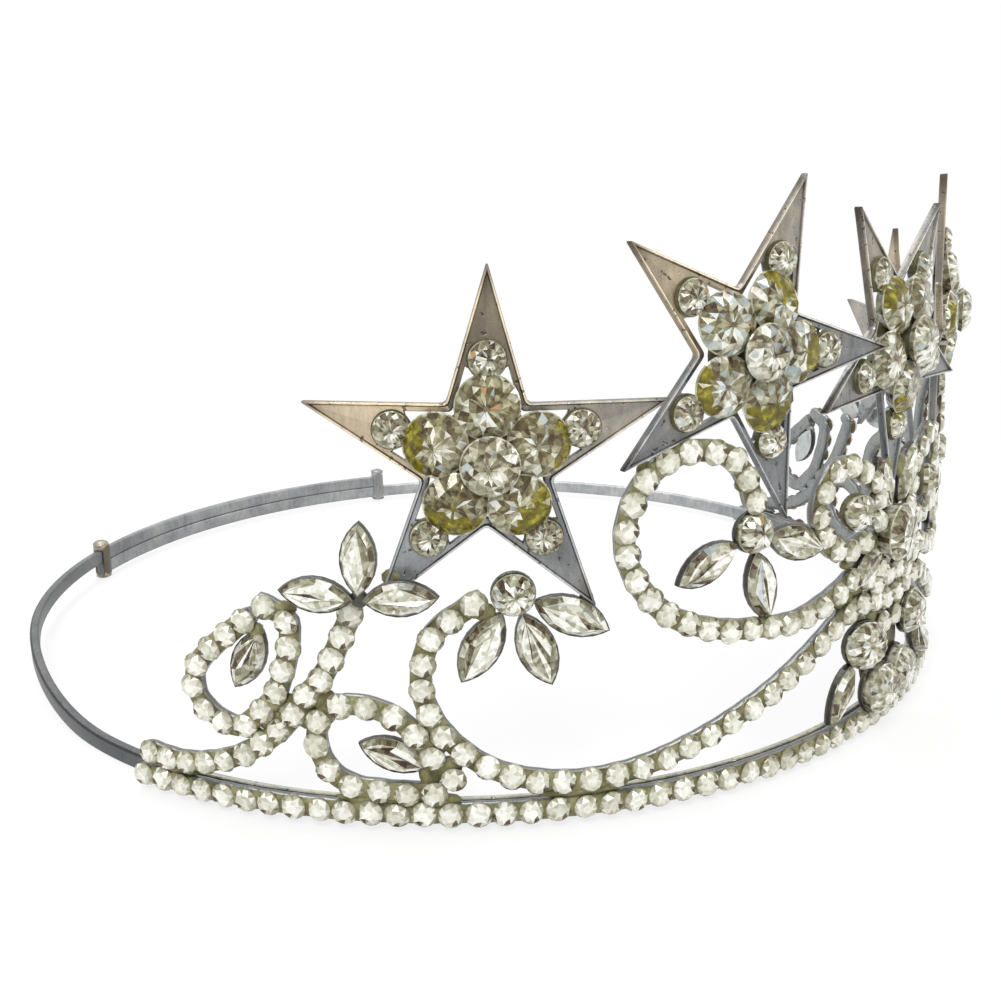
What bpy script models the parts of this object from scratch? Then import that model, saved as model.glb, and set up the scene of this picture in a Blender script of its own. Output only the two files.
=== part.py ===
"""A star crown on an adjustable head hoop.

The crown stands on its hoop with +Z up and its centre star towards -Y. Everything on the
front is laid out on an unrolled wall: s runs round the wall from the centre front, positive
to +X, and z runs up. All sizes are in millimetres.
"""
import bpy
import bmesh
import math
from mathutils import Matrix, Vector

MM = 0.001

# Hoop
HOOP_R = 87.0
STRIP_T = 1.2
STRIP_H = 2.8
COLLAR_WALL = 0.6
COLLAR_LENGTH = 3.0
OVERLAP_HALF_DEG = 31.0
ROOT_LAP_DEG = 16.0
BAND_T = 0.7

# Clearances
SEAT_GAP = 0.3
LINE_GAP = 0.3

# Stone rows: the whole front is drawn in steps of the small stones' pitch
PITCH = 3.65
DRAWN_PITCH = 3.65
STONE_SHARE = 0.9
LIP = 0.06
CAST_T = 1.0
BED_T = 0.4
STONE_RISE = 1.0

# Stars
STAR_REACH = 24.4
STAR_NOTCH = 8.7
STAR_T = 1.4
TIP_ROUND = 0.12
NOTCH_ROUND = 1.0
PETAL_RING = 7.05
PETAL_R = 4.0
PETAL_RISE = 1.9
TIP_STONE_RING = 12.6
TIP_STONE_R = 2.3
TIP_STONE_RISE = 1.0
HEART_R = 4.2
HEART_RISE = 2.4

# Pointed stones and round stones in cups
NAVETTE_L = 10.0
NAVETTE_W = 4.9
CUP_H = 1.9
CROWN_H = 1.2
HUB_T = 0.8

# Everything drawn on the wall grows with the pitch
UNIT = PITCH / DRAWN_PITCH
STONE_D = PITCH * STONE_SHARE
CAST_W = STONE_D + 2.0 * LIP
BED_W = STONE_D + LIP
STRIP_IN = HOOP_R - STRIP_T / 2.0
STRIP_OUT = HOOP_R + STRIP_T / 2.0
COLLAR_IN = STRIP_IN - SEAT_GAP - COLLAR_WALL
COLLAR_OUT = STRIP_OUT + SEAT_GAP + COLLAR_WALL
LOW_STRIP_Z = COLLAR_WALL + SEAT_GAP + 0.1
HIGH_STRIP_Z = LOW_STRIP_Z + STRIP_H + LINE_GAP
STACK_TOP = HIGH_STRIP_Z + STRIP_H
BAND_H = STACK_TOP - SEAT_GAP
BAND_IN = STRIP_OUT + SEAT_GAP
CAST_IN = BAND_IN + BAND_T + SEAT_GAP
CAST_OUT = CAST_IN + CAST_T
BED_IN = CAST_OUT + SEAT_GAP
BED_OUT = BED_IN + BED_T

STAR_STONE_SEAT = STAR_T + SEAT_GAP
HEART_FOOT_R = 2.0 * UNIT
HEART_SEAT = STAR_STONE_SEAT + PETAL_RISE + SEAT_GAP
FRONT_REACH = CAST_IN + HEART_SEAT + HEART_RISE
CENTRE_Y = (FRONT_REACH - STRIP_OUT) / 2.0

# Scroll lines on the -X side as (s, z); the +X side is their mirror image
BASE_LINE = [(-124.0, 2.3), (-1.9, 2.3)]
SCROLLS = {
    "tail": [(-124.0, 6.1), (-115.5, 6.2), (-108.5, 8.1), (-102.2, 11.7), (-97.7, 15.7),
             (-93.9, 20.3), (-91.3, 24.5), (-89.6, 28.4)],
    "leaf": [(-97.3, 29.4), (-98.5, 22.2), (-102.4, 16.3), (-107.0, 14.2), (-111.8, 16.2),
             (-112.9, 20.2), (-108.7, 25.4), (-102.2, 30.6)],
    "curl": [(-83.9, 16.5), (-87.0, 17.6), (-90.1, 17.1), (-92.6, 14.2),
             (-93.2, 10.6), (-91.4, 7.5), (-87.6, 6.1), (-80.5, 6.1)],
    "great": [(-72.6, 31.4), (-77.8, 27.6), (-79.4, 21.0), (-77.3, 14.6), (-71.0, 9.0),
              (-62.0, 6.3), (-52.0, 6.3), (-41.0, 8.3), (-30.0, 12.0), (-19.5, 16.4),
              (-11.0, 21.3), (-2.0, 21.4)],
    "arch": [(-51.5, 43.4), (-52.3, 38.6), (-50.4, 32.9), (-43.5, 26.8), (-34.5, 23.2),
             (-25.5, 22.6), (-19.6, 23.6)],
    "eye": [(-10.0, 42.4), (-14.5, 43.8), (-18.5, 41.4), (-19.5, 38.0), (-17.5, 34.9),
            (-13.5, 33.6), (-9.5, 33.8)],
}
EYE_STONE = (-13.0, 38.6)
EYE_STONE_R = 2.8
EYE_HUB_R = 3.9

# Stars from the -X end: the foot is the tip of the low point that is soldered to the work under it,
# and the turn is that of the first point from upright
STARS = [("outer", -56.38, 30.99, 1.5), ("inner", -28.1, 38.8, 19.5), ("centre", 0.0, 36.9, 36.0)]
FOOT_POINT = 3

# The arch starts in the notch under the inner star, as (run from the notch, clearance): first up
# beside the point that stands on the foot, then down beside the low point towards the end
ARCH_BESIDE_FOOT = [(10.5, 0.5), (5.8, 0.45)]
ARCH_BESIDE_POINT = [(3.9, 1.55), (7.8, 0.6), (12.3, 1.45)]

# Sprays of pointed stones: hub place, hub radius, round stone radius, first reach, directions
SPRAY = (-86.6, 33.8, 2.0, 0.0, 1.0, (173.0, 87.0, 4.0))
FLOWER_LOW = (-67.2, 33.3, 3.7, 2.8, 3.3, (-121.0, -69.0, -24.0))
FLOWER_HIGH = (-33.0, 38.0, 3.7, 2.8, 3.3, (204.0, -77.0, -19.0))
HEART_FLOWER = (0.0, 31.7, 5.25, 4.4, 4.85, (117.0, 63.0, -162.0, -18.0))
LEAF_NAVETTE = (-103.45, 23.4, 62.0)
CURL_NAVETTE = (-83.6, 10.9, -19.0)
TREFOIL_PLACE = (0.0, 12.2)
TREFOIL_HUB_R = 6.6
TREFOIL_ROUNDS = [(-8.7, 3.7), (8.7, 3.7), (-4.4, -4.3), (4.4, -4.3)]
TREFOIL_ROUND_R = 3.5
TREFOIL_NAVETTES = [(-10.62, 1.27, 229.0), (10.62, 1.27, -49.0)]

SILVER = (0.56, 0.55, 0.52)
DARK_SILVER = (0.40, 0.41, 0.43)
CRYSTAL = (0.80, 0.80, 0.76)


# Scene

def clear_scene():
    for item in list(bpy.data.objects):
        bpy.data.objects.remove(item, do_unlink=True)


def new_collection(name):
    made = bpy.data.collections.new(name)
    bpy.context.scene.collection.children.link(made)
    return made


clear_scene()
CROWN = new_collection("star_crown")
HELPERS = new_collection("cutters")


def paint(item, colour, roughness, metallic):
    made = bpy.data.materials.new(item.name)
    made.use_nodes = True
    surface = made.node_tree.nodes["Principled BSDF"]
    surface.inputs["Base Color"].default_value = (*colour, 1.0)
    surface.inputs["Roughness"].default_value = roughness
    surface.inputs["Metallic"].default_value = metallic
    item.data.materials.clear()
    item.data.materials.append(made)


def metal(item, colour=SILVER):
    paint(item, colour, 0.35, 1.0)


def crystal(item):
    paint(item, CRYSTAL, 0.08, 0.3)


def place_mesh(name, mesh, collection=CROWN):
    item = bpy.data.objects.new(name, mesh)
    collection.objects.link(item)
    return item


def mesh_from(name, bm):
    bmesh.ops.recalc_face_normals(bm, faces=bm.faces)
    mesh = bpy.data.meshes.new(name)
    bm.to_mesh(mesh)
    bm.free()
    return mesh


def helper(name, mesh, matrix=None):
    item = place_mesh(name, mesh, HELPERS)
    item.display_type = "WIRE"
    item.hide_render = True
    if matrix is not None:
        item.matrix_world = matrix
    return item


def join_with(item, other):
    union = item.modifiers.new("join_" + other.name, "BOOLEAN")
    union.operation = "UNION"
    union.solver = "EXACT"
    union.object = other


# Wall

def wall(s, z, r, drawn_r):
    """A point of the wall at radius r; s is measured along the radius that was drawn on."""
    angle = s / drawn_r
    return Vector((r * math.sin(angle), CENTRE_Y - r * math.cos(angle), z)) * MM


def seat(s, z, r, turn_deg=0.0):
    """Local X along the wall, Y up and Z out of the wall."""
    angle = s / CAST_OUT
    spot = Matrix.Translation(wall(s, z, r, CAST_OUT))
    facing = Matrix.Rotation(angle, 4, "Z") @ Matrix.Rotation(math.radians(90.0), 4, "X")
    return spot @ facing @ Matrix.Rotation(math.radians(turn_deg), 4, "Z")


# Lines

def curve_point(before, start, end, after, share):
    """One point of a smooth line that runs from start to end."""
    points = [Vector(before), Vector(start), Vector(end), Vector(after)]
    times = [0.0]
    for first, second in zip(points, points[1:]):
        times.append(times[-1] + math.sqrt((second - first).length))
    now = times[1] + (times[2] - times[1]) * share
    level = points
    for depth in (1, 2, 3):
        blended = []
        for index in range(len(level) - 1):
            low = times[index] if depth < 3 else times[1]
            high = times[index + depth] if depth < 3 else times[2]
            part = (now - low) / (high - low)
            blended.append(level[index].lerp(level[index + 1], part))
        level = blended
    return level[0]


def smooth_line(points, side):
    """Close-set points of the line through points, drawn on one side of the front."""
    drawn = [Vector((-side * s * UNIT, z * UNIT)) for s, z in points]
    if len(drawn) == 2:
        return [drawn[0].lerp(drawn[1], step / 240.0) for step in range(241)]
    ends = [drawn[0] * 2.0 - drawn[1]] + drawn + [drawn[-1] * 2.0 - drawn[-2]]
    line = []
    for index in range(1, len(ends) - 2):
        for step in range(24):
            line.append(curve_point(*ends[index - 1:index + 3], step / 24.0))
    line.append(drawn[-1])
    return line


def evenly(line, count):
    """count points at equal steps along the line, with the direction at each."""
    lengths = [0.0]
    for first, second in zip(line, line[1:]):
        lengths.append(lengths[-1] + (second - first).length)
    found = []
    index = 0
    for number in range(count):
        goal = lengths[-1] * number / (count - 1)
        while index < len(line) - 2 and lengths[index + 1] < goal:
            index += 1
        part = (goal - lengths[index]) / (lengths[index + 1] - lengths[index])
        heading = (line[index + 1] - line[index]).normalized()
        found.append((line[index].lerp(line[index + 1], part), heading))
    return found


def line_length(line):
    return sum((second - first).length for first, second in zip(line, line[1:]))


def star_corner(star, reach, point):
    """A corner of a star's outline on the drawing: whole points are tips, halves are notches."""
    foot_s, foot_z, turn = star[1:]
    foot_way = math.radians(90.0 - turn + 72.0 * FOOT_POINT)
    way = math.radians(90.0 - turn + 72.0 * point)
    middle = Vector((foot_s, foot_z)) - STAR_REACH * Vector((math.cos(foot_way), math.sin(foot_way)))
    return middle + reach * Vector((math.cos(way), math.sin(way)))


def arch_points():
    """The arch's line, whose top follows the inner star's edge at half its own width."""
    star = STARS[1]
    notch = star_corner(star, STAR_NOTCH, FOOT_POINT - 0.5)
    sides = ((FOOT_POINT, -1.0, ARCH_BESIDE_FOOT), (FOOT_POINT - 1, 1.0, ARCH_BESIDE_POINT))
    points = []
    for point, turned, places in sides:
        along = (star_corner(star, STAR_REACH, point) - notch).normalized()
        away = Vector((-along.y, along.x)) * turned
        for run, clear in places:
            spot = notch + along * run + away * (CAST_W / UNIT / 2.0 + clear)
            points.append((spot.x, spot.y))
    return points + SCROLLS["arch"]


def stations(line, longest, turn_deg):
    """The line's points that a ribbon needs: closer where the line turns."""
    fine = evenly(line, max(3, int(line_length(line) / 0.4)))
    kept = [fine[0]]
    run = 0.0
    for last, now in zip(fine, fine[1:]):
        run += (now[0] - last[0]).length
        bend = kept[-1][1].angle(now[1])
        if run >= longest or math.degrees(bend) >= turn_deg:
            kept.append(now)
            run = 0.0
    if (fine[-1][0] - kept[-1][0]).length < longest * 0.3 and len(kept) > 2:
        kept.pop()
    kept.append(fine[-1])
    return kept


def ribbon(name, points, width, r_in, thickness, drawn_r, overrun=0.0):
    """A flat strip bent to the wall along a line of stations."""
    first, heading = points[0]
    last, leaving = points[-1]
    points = [(first - heading * overrun, heading)] + points[1:-1] + [(last + leaving * overrun, leaving)]
    bm = bmesh.new()
    rows = []
    for spot, along in points:
        across = Vector((-along.y, along.x)) * width / 2.0
        edges = [wall(edge.x, edge.y, r_in, drawn_r) for edge in (spot - across, spot + across)]
        rows.append([bm.verts.new(edge) for edge in edges])
    for here, there in zip(rows, rows[1:]):
        bm.faces.new((here[0], there[0], there[1], here[1]))
    middle = len(points) // 2
    outward = wall(points[middle][0].x, 0.0, 1.0, drawn_r) - Vector((0.0, CENTRE_Y, 0.0)) * MM
    bm.normal_update()
    bm.faces.ensure_lookup_table()
    if bm.faces[middle - 1].normal.dot(outward) < 0.0:
        bmesh.ops.reverse_faces(bm, faces=bm.faces)
    mesh = bpy.data.meshes.new(name)
    bm.to_mesh(mesh)
    bm.free()
    item = place_mesh(name, mesh)
    solid = item.modifiers.new("thickness", "SOLIDIFY")
    solid.thickness = thickness * MM
    solid.offset = 1.0
    solid.use_even_offset = True
    return item


def arc_ribbon(name, start_deg, end_deg, z_low, z_high, r_in, thickness):
    """A strip that runs round the hoop at one height."""
    start = math.radians(start_deg) * r_in
    end = math.radians(end_deg) * r_in
    middle = (z_low + z_high) / 2.0
    count = int(abs(end_deg - start_deg) / 4.0) + 2
    line = [Vector((start, middle)), Vector((end, middle))]
    return ribbon(name, evenly(line, count), z_high - z_low, r_in, thickness, r_in)


# Raised outlines

def ring_outline(radius, count, turn_deg=0.0):
    outline = []
    for step in range(count):
        angle = math.radians(turn_deg + 360.0 * step / count)
        outline.append(Vector((radius * math.cos(angle), radius * math.sin(angle))))
    return outline


def navette_outline(length, width):
    """A pointed oval made by two crossing arcs."""
    half = length / 2.0
    arc_r = (half * half + width * width / 4.0) / width
    sag = arc_r - width / 2.0
    outline = []
    for share in (-1.0, -0.62, 0.0, 0.62):
        x = half * share
        outline.append(Vector((x, math.sqrt(arc_r * arc_r - x * x) - sag)))
    for share in (1.0, 0.62, 0.0, -0.62):
        x = half * share
        outline.append(Vector((x, sag - math.sqrt(arc_r * arc_r - x * x))))
    return outline


def raise_outline(bm, outline, base, steps, matrix=None):
    """A closed solid that rises from an outline in steps of (height, share of its width)."""
    middle = sum(outline, Vector((0.0, 0.0))) / len(outline)
    rings = []
    for height, share in [(base, 1.0)] + steps:
        ring = []
        for point in outline:
            flat = middle + (point - middle) * share
            spot = Vector((flat.x, flat.y, height)) * MM
            ring.append(bm.verts.new(matrix @ spot if matrix is not None else spot))
        rings.append(ring)
    bm.faces.new(list(reversed(rings[0])))
    bm.faces.new(rings[-1])
    count = len(outline)
    for low, high in zip(rings, rings[1:]):
        for step in range(count):
            after = (step + 1) % count
            bm.faces.new((low[step], low[after], high[after], high[step]))


def cup_steps(base):
    """Heights of a cup with a cut stone in it."""
    return [(base + CUP_H, 1.0), (base + CUP_H + CROWN_H, 0.6)]


# Stone rows

def stone_count(line):
    return max(2, round(line_length(line) / PITCH) + 1)


def stone_row(name, line, rounds=()):
    """A row of small cut stones standing in their cement bed."""
    bed = ribbon(name, stations(line, PITCH * 2.0, 18.0), BED_W, BED_IN, BED_T, CAST_OUT, PITCH * 0.48)
    bm = bmesh.new()
    depth = BED_T / 2.0 + STONE_RISE
    middle = BED_IN + BED_T / 2.0 + depth / 2.0
    for spot, heading in evenly(line, stone_count(line)):
        turn = math.degrees(math.atan2(heading.y, heading.x))
        matrix = seat(spot.x, spot.y, middle, turn)
        bmesh.ops.create_cone(bm, cap_ends=True, segments=6, radius1=STONE_D * 0.5 * MM,
                              radius2=STONE_D * 0.3 * MM, depth=depth * MM, matrix=matrix)
    join_with(bed, helper(name + "_cuts", mesh_from(name + "_cuts", bm)))
    for number, (place, hub_r, round_r) in enumerate(rounds):
        bm = bmesh.new()
        matrix = seat(place[0], place[1], BED_IN)
        raise_outline(bm, ring_outline(hub_r, 12), 0.0, [(BED_T, 1.0)], matrix)
        join_with(bed, helper(name + "_hub", mesh_from(name + "_hub", bm)))
        bm = bmesh.new()
        rise = [(BED_T + 1.0, 1.0), (BED_T + 2.0, 0.6)]
        raise_outline(bm, ring_outline(round_r, 10, 18.0), BED_T / 2.0, rise, matrix)
        join_with(bed, helper(name + "_round", mesh_from(name + "_round", bm)))
    crystal(bed)
    return bed


def casting(name, line):
    item = ribbon(name, stations(line, PITCH * 2.0, 18.0), CAST_W, CAST_IN, CAST_T, CAST_OUT, PITCH * 0.42)
    metal(item)
    return item


# Sprays

def spray(name, design, side, back=CAST_IN):
    """Pointed stones in cups round a hub, all lying in one flat plate."""
    place_s, place_z, hub_r, round_r, reach, directions = design
    matrix = seat(-side * place_s * UNIT, place_z * UNIT, back)
    bm = bmesh.new()
    raise_outline(bm, ring_outline(hub_r * UNIT, 12), 0.0, [(HUB_T, 1.0)])
    item = place_mesh(name, mesh_from(name, bm))
    item.matrix_world = matrix
    bm = bmesh.new()
    length = NAVETTE_L * UNIT
    for direction in directions:
        heading = direction if side < 0 else 180.0 - direction
        turn = Matrix.Rotation(math.radians(heading), 4, "Z")
        shift = Matrix.Translation(Vector(((reach * UNIT + length / 2.0) * MM, 0.0, 0.0)))
        raise_outline(bm, navette_outline(length, NAVETTE_W * UNIT), 0.0, cup_steps(0.0), turn @ shift)
    join_with(item, helper(name + "_navettes", mesh_from(name + "_navettes", bm), matrix))
    if round_r > 0.0:
        bm = bmesh.new()
        raise_outline(bm, ring_outline(round_r * UNIT, 12), HUB_T / 2.0, cup_steps(0.4))
        join_with(item, helper(name + "_round", mesh_from(name + "_round", bm), matrix))
    crystal(item)
    return item


def single_navette(name, design, side):
    place_s, place_z, direction = design
    bm = bmesh.new()
    raise_outline(bm, navette_outline(NAVETTE_L * UNIT, NAVETTE_W * UNIT), 0.0, cup_steps(0.0))
    item = place_mesh(name, mesh_from(name, bm))
    heading = direction if side < 0 else 180.0 - direction
    item.matrix_world = seat(-side * place_s * UNIT, place_z * UNIT, CAST_IN, heading)
    crystal(item)
    return item


def trefoil(name):
    """Four large round stones and two pointed ones on one plate under the centre."""
    matrix = seat(TREFOIL_PLACE[0], TREFOIL_PLACE[1] * UNIT, CAST_IN)
    bm = bmesh.new()
    raise_outline(bm, ring_outline(TREFOIL_HUB_R * UNIT, 14), 0.0, [(HUB_T, 1.0)])
    item = place_mesh(name, mesh_from(name, bm))
    item.matrix_world = matrix
    bm = bmesh.new()
    for x, y in TREFOIL_ROUNDS:
        shift = Matrix.Translation(Vector((x, y, 0.0)) * UNIT * MM)
        raise_outline(bm, ring_outline(TREFOIL_ROUND_R * UNIT, 12, 15.0), 0.0, cup_steps(0.0), shift)
    join_with(item, helper(name + "_rounds", mesh_from(name + "_rounds", bm), matrix))
    bm = bmesh.new()
    for x, y, turn_deg in TREFOIL_NAVETTES:
        shift = Matrix.Translation(Vector((x, y, 0.0)) * UNIT * MM)
        turn = Matrix.Rotation(math.radians(turn_deg), 4, "Z")
        along = Matrix.Translation(Vector((NAVETTE_L * UNIT / 2.0 * MM, 0.0, 0.0)))
        outline = navette_outline(NAVETTE_L * UNIT, NAVETTE_W * UNIT)
        raise_outline(bm, outline, 0.2, cup_steps(0.0), shift @ turn @ along)
    join_with(item, helper(name + "_navettes", mesh_from(name + "_navettes", bm), matrix))
    crystal(item)
    return item


# Stars

def rounded_corner(corner, before, after, radius, count):
    """Points of an arc that rounds one corner of an outline."""
    to_before = (before - corner).normalized()
    to_after = (after - corner).normalized()
    half = to_before.angle(to_after) / 2.0
    setback = radius / math.tan(half)
    middle = corner + (to_before + to_after).normalized() * (radius / math.sin(half))
    start = corner + to_before * setback - middle
    end = corner + to_after * setback - middle
    points = []
    for step in range(count):
        share = step / (count - 1.0)
        points.append(middle + start.lerp(end, share).normalized() * radius)
    return points


def star_outline():
    corners = []
    for point in range(5):
        tip = math.radians(90.0 + 72.0 * point)
        notch = tip + math.radians(36.0)
        kinds = ((tip, STAR_REACH, TIP_ROUND, 4), (notch, STAR_NOTCH, NOTCH_ROUND, 3))
        for angle, reach, radius, count in kinds:
            spot = Vector((math.cos(angle), math.sin(angle))) * reach * UNIT
            corners.append((spot, radius * UNIT, count))
    outline = []
    for index, (corner, radius, count) in enumerate(corners):
        before = corners[index - 1][0]
        after = corners[(index + 1) % len(corners)][0]
        outline.extend(rounded_corner(corner, before, after, radius, count))
    return outline


def star_window():
    """The open middle of a star: its corners lie along the points, its flats behind the notches."""
    window = []
    for point in range(10):
        angle = math.radians(90.0 + 36.0 * point)
        reach = PETAL_RING * 1.32 if point % 2 == 0 else STAR_NOTCH - 1.6
        window.append(reach * UNIT * Vector((math.cos(angle), math.sin(angle))))
    return window


def filled_plate(name, outlines, thickness):
    """A flat plate cut to its outlines, standing on its back face."""
    drawing = bpy.data.curves.new(name, "CURVE")
    drawing.dimensions = "2D"
    drawing.fill_mode = "BOTH"
    drawing.extrude = thickness / 2.0 * MM
    for outline in outlines:
        spline = drawing.splines.new("POLY")
        spline.points.add(len(outline) - 1)
        for spot, point in zip(spline.points, outline):
            spot.co = (point.x * MM, point.y * MM, 0.0, 1.0)
        spline.use_cyclic_u = True
    drawn = bpy.data.objects.new(name, drawing)
    HELPERS.objects.link(drawn)
    bpy.context.view_layer.update()
    mesh = bpy.data.meshes.new_from_object(drawn.evaluated_get(bpy.context.evaluated_depsgraph_get()))
    bpy.data.objects.remove(drawn, do_unlink=True)
    bm = bmesh.new()
    bm.from_mesh(mesh)
    bmesh.ops.remove_doubles(bm, verts=bm.verts, dist=0.00001)
    bmesh.ops.translate(bm, verts=bm.verts, vec=Vector((0.0, 0.0, thickness / 2.0 * MM)))
    bmesh.ops.recalc_face_normals(bm, faces=bm.faces)
    bm.to_mesh(mesh)
    bm.free()
    return mesh


def star_frame(name, matrix):
    item = place_mesh(name, filled_plate(name, [star_outline(), star_window()], STAR_T))
    item.matrix_world = matrix
    metal(item)
    return item


def star_rosette(name, matrix):
    """Five petal stones and five point stones, held by one ring of cement."""
    ring = filled_plate(name, [ring_outline(6.0 * UNIT, 10), ring_outline(4.3 * UNIT, 10)], 0.6)
    item = place_mesh(name, ring)
    item.matrix_world = matrix @ Matrix.Translation(Vector((0.0, 0.0, STAR_STONE_SEAT * MM)))
    bm = bmesh.new()
    for point in range(5):
        turn = Matrix.Rotation(math.radians(90.0 + 72.0 * point), 4, "Z")
        shift = turn @ Matrix.Translation(Vector((PETAL_RING * UNIT * MM, 0.0, 0.0)))
        rise = [(PETAL_RISE * 0.5, 1.0), (PETAL_RISE, 0.62)]
        raise_outline(bm, ring_outline(PETAL_R * UNIT, 8, 22.5), 0.2, rise, shift)
    join_with(item, helper(name + "_petals", mesh_from(name + "_petals", bm), item.matrix_world))
    bm = bmesh.new()
    for point in range(5):
        turn = Matrix.Rotation(math.radians(90.0 + 72.0 * point), 4, "Z")
        shift = turn @ Matrix.Translation(Vector((TIP_STONE_RING * UNIT * MM, 0.0, 0.0)))
        rise = [(TIP_STONE_RISE * 0.5, 1.0), (TIP_STONE_RISE, 0.62)]
        raise_outline(bm, ring_outline(TIP_STONE_R * UNIT, 6, 30.0), 0.0, rise, shift)
    join_with(item, helper(name + "_points", mesh_from(name + "_points", bm), item.matrix_world))
    crystal(item)
    return item


def star_heart(name, matrix):
    """The raised middle stone: a turned cup whose foot stands between the petals."""
    wide = HEART_R * UNIT
    profile = [(0.0, 0.0), (HEART_FOOT_R, 0.0), (HEART_FOOT_R, STAR_STONE_SEAT + PETAL_RISE * 0.55),
               (wide, HEART_SEAT), (wide, HEART_SEAT + HEART_RISE * 0.4),
               (wide * 0.6, HEART_SEAT + HEART_RISE), (0.0, HEART_SEAT + HEART_RISE)]
    bm = bmesh.new()
    spots = [bm.verts.new(Vector((x, 0.0, z)) * MM) for x, z in profile]
    for first, second in zip(spots, spots[1:]):
        bm.edges.new((first, second))
    item = place_mesh(name, mesh_from(name, bm))
    item.matrix_world = matrix
    turned = item.modifiers.new("turned", "SCREW")
    turned.axis = "Z"
    turned.steps = 12
    turned.render_steps = 12
    turned.use_merge_vertices = True
    turned.merge_threshold = 0.00001
    turned.use_normal_calculate = True
    crystal(item)
    return item


# Hoop

def collar(name, angle_deg):
    """A crimped sleeve that grips the end of one strip and slides on the other."""
    centre = math.radians(angle_deg) * HOOP_R
    half = COLLAR_LENGTH / 2.0
    outer = arc_ribbon(name, math.degrees((centre - half) / HOOP_R), math.degrees((centre + half) / HOOP_R),
                       LOW_STRIP_Z - SEAT_GAP - COLLAR_WALL, STACK_TOP + SEAT_GAP + COLLAR_WALL,
                       COLLAR_IN, COLLAR_OUT - COLLAR_IN)
    inner = arc_ribbon(name + "_bore", math.degrees((centre - half * 2.0) / HOOP_R),
                       math.degrees((centre + half * 2.0) / HOOP_R), LOW_STRIP_Z - SEAT_GAP,
                       STACK_TOP + SEAT_GAP, STRIP_IN - SEAT_GAP, STRIP_T + 2.0 * SEAT_GAP)
    CROWN.objects.unlink(inner)
    HELPERS.objects.link(inner)
    inner.display_type = "WIRE"
    inner.hide_render = True
    cut = outer.modifiers.new("bore", "BOOLEAN")
    cut.operation = "DIFFERENCE"
    cut.solver = "EXACT"
    cut.object = inner
    metal(outer, DARK_SILVER)
    return outer


def hinge_on_axis(item):
    """Move the object's origin to the hoop's axis, about which it slides round."""
    axis = Vector((0.0, CENTRE_Y * MM, 0.0))
    item.data.transform(Matrix.Translation(-axis))
    item.location = axis


def build_hoop():
    end_s = -BASE_LINE[0][0] * UNIT + PITCH * 0.42
    end_deg = math.degrees(end_s / CAST_OUT)
    band = arc_ribbon("front_band", -end_deg, end_deg, 0.0, BAND_H, BAND_IN, BAND_T)
    metal(band)
    root = end_deg - ROOT_LAP_DEG
    tail = 180.0 + OVERLAP_HALF_DEG
    half_collar = math.degrees(COLLAR_LENGTH / 2.0 / HOOP_R)
    strips = (("left", -1.0, HIGH_STRIP_Z), ("right", 1.0, LOW_STRIP_Z))
    for label, side, low in strips:
        high = low + STRIP_H
        strip = arc_ribbon(label + "_strip", side * root, side * tail, low, high, STRIP_IN, STRIP_T)
        metal(strip, DARK_SILVER)
        hinge_on_axis(strip)
        sleeve = collar(label + "_collar", side * (tail - half_collar))
        bore = bpy.data.objects[label + "_collar_bore"]
        hinge_on_axis(sleeve)
        hinge_on_axis(bore)


def build_front():
    base = smooth_line(BASE_LINE, -1.0)
    whole = base + [Vector((-point.x, point.y)) for point in reversed(base)]
    casting("base_rail", [whole[0], whole[-1]])
    stone_row("base_stones", [whole[0], whole[-1]])
    for label, side in (("left", -1.0), ("right", 1.0)):
        for scroll, points in SCROLLS.items():
            line = smooth_line(arch_points() if scroll == "arch" else points, side)
            casting(label + "_" + scroll + "_scroll", line)
            rounds = []
            if scroll == "eye":
                spot = (-side * EYE_STONE[0] * UNIT, EYE_STONE[1] * UNIT)
                rounds.append((spot, EYE_HUB_R * UNIT, EYE_STONE_R * UNIT))
            stone_row(label + "_" + scroll + "_stones", line, rounds)
        spray(label + "_spray", SPRAY, side, BED_OUT + STONE_RISE + SEAT_GAP)
        spray(label + "_low_flower", FLOWER_LOW, side)
        spray(label + "_high_flower", FLOWER_HIGH, side)
        single_navette(label + "_leaf_navette", LEAF_NAVETTE, side)
        single_navette(label + "_curl_navette", CURL_NAVETTE, side)
    spray("heart_flower", HEART_FLOWER, -1.0)
    trefoil("trefoil")


def build_stars():
    for star in STARS:
        label, turn = star[0], star[3]
        place_s, place_z = star_corner(star, 0.0, 0.0)
        for side_label, side in (("left", -1.0), ("right", 1.0)):
            if label == "centre" and side > 0:
                continue
            name = "centre_star" if label == "centre" else side_label + "_" + label + "_star"
            matrix = seat(-side * place_s * UNIT, place_z * UNIT, CAST_IN, side * turn)
            star_frame(name + "_frame", matrix)
            star_rosette(name + "_rosette", matrix)
            star_heart(name + "_heart", matrix)


build_hoop()
build_front()
build_stars()
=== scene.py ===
# %% [markdown]
# # A star crown on an adjustable hoop
# The crown is a row of cast metal stars over scrolls of cast metal, all set with foil-backed
# cut glass, on a thin head hoop. The frame that is loaded here holds plain solids in their
# right places. Each step below makes one kind of piece with its real detail and lets it ride
# on the body that the solid belongs to.

# %% Load the frame
import math
import random

import bmesh
import bpy
from mathutils import Matrix, Vector


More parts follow.
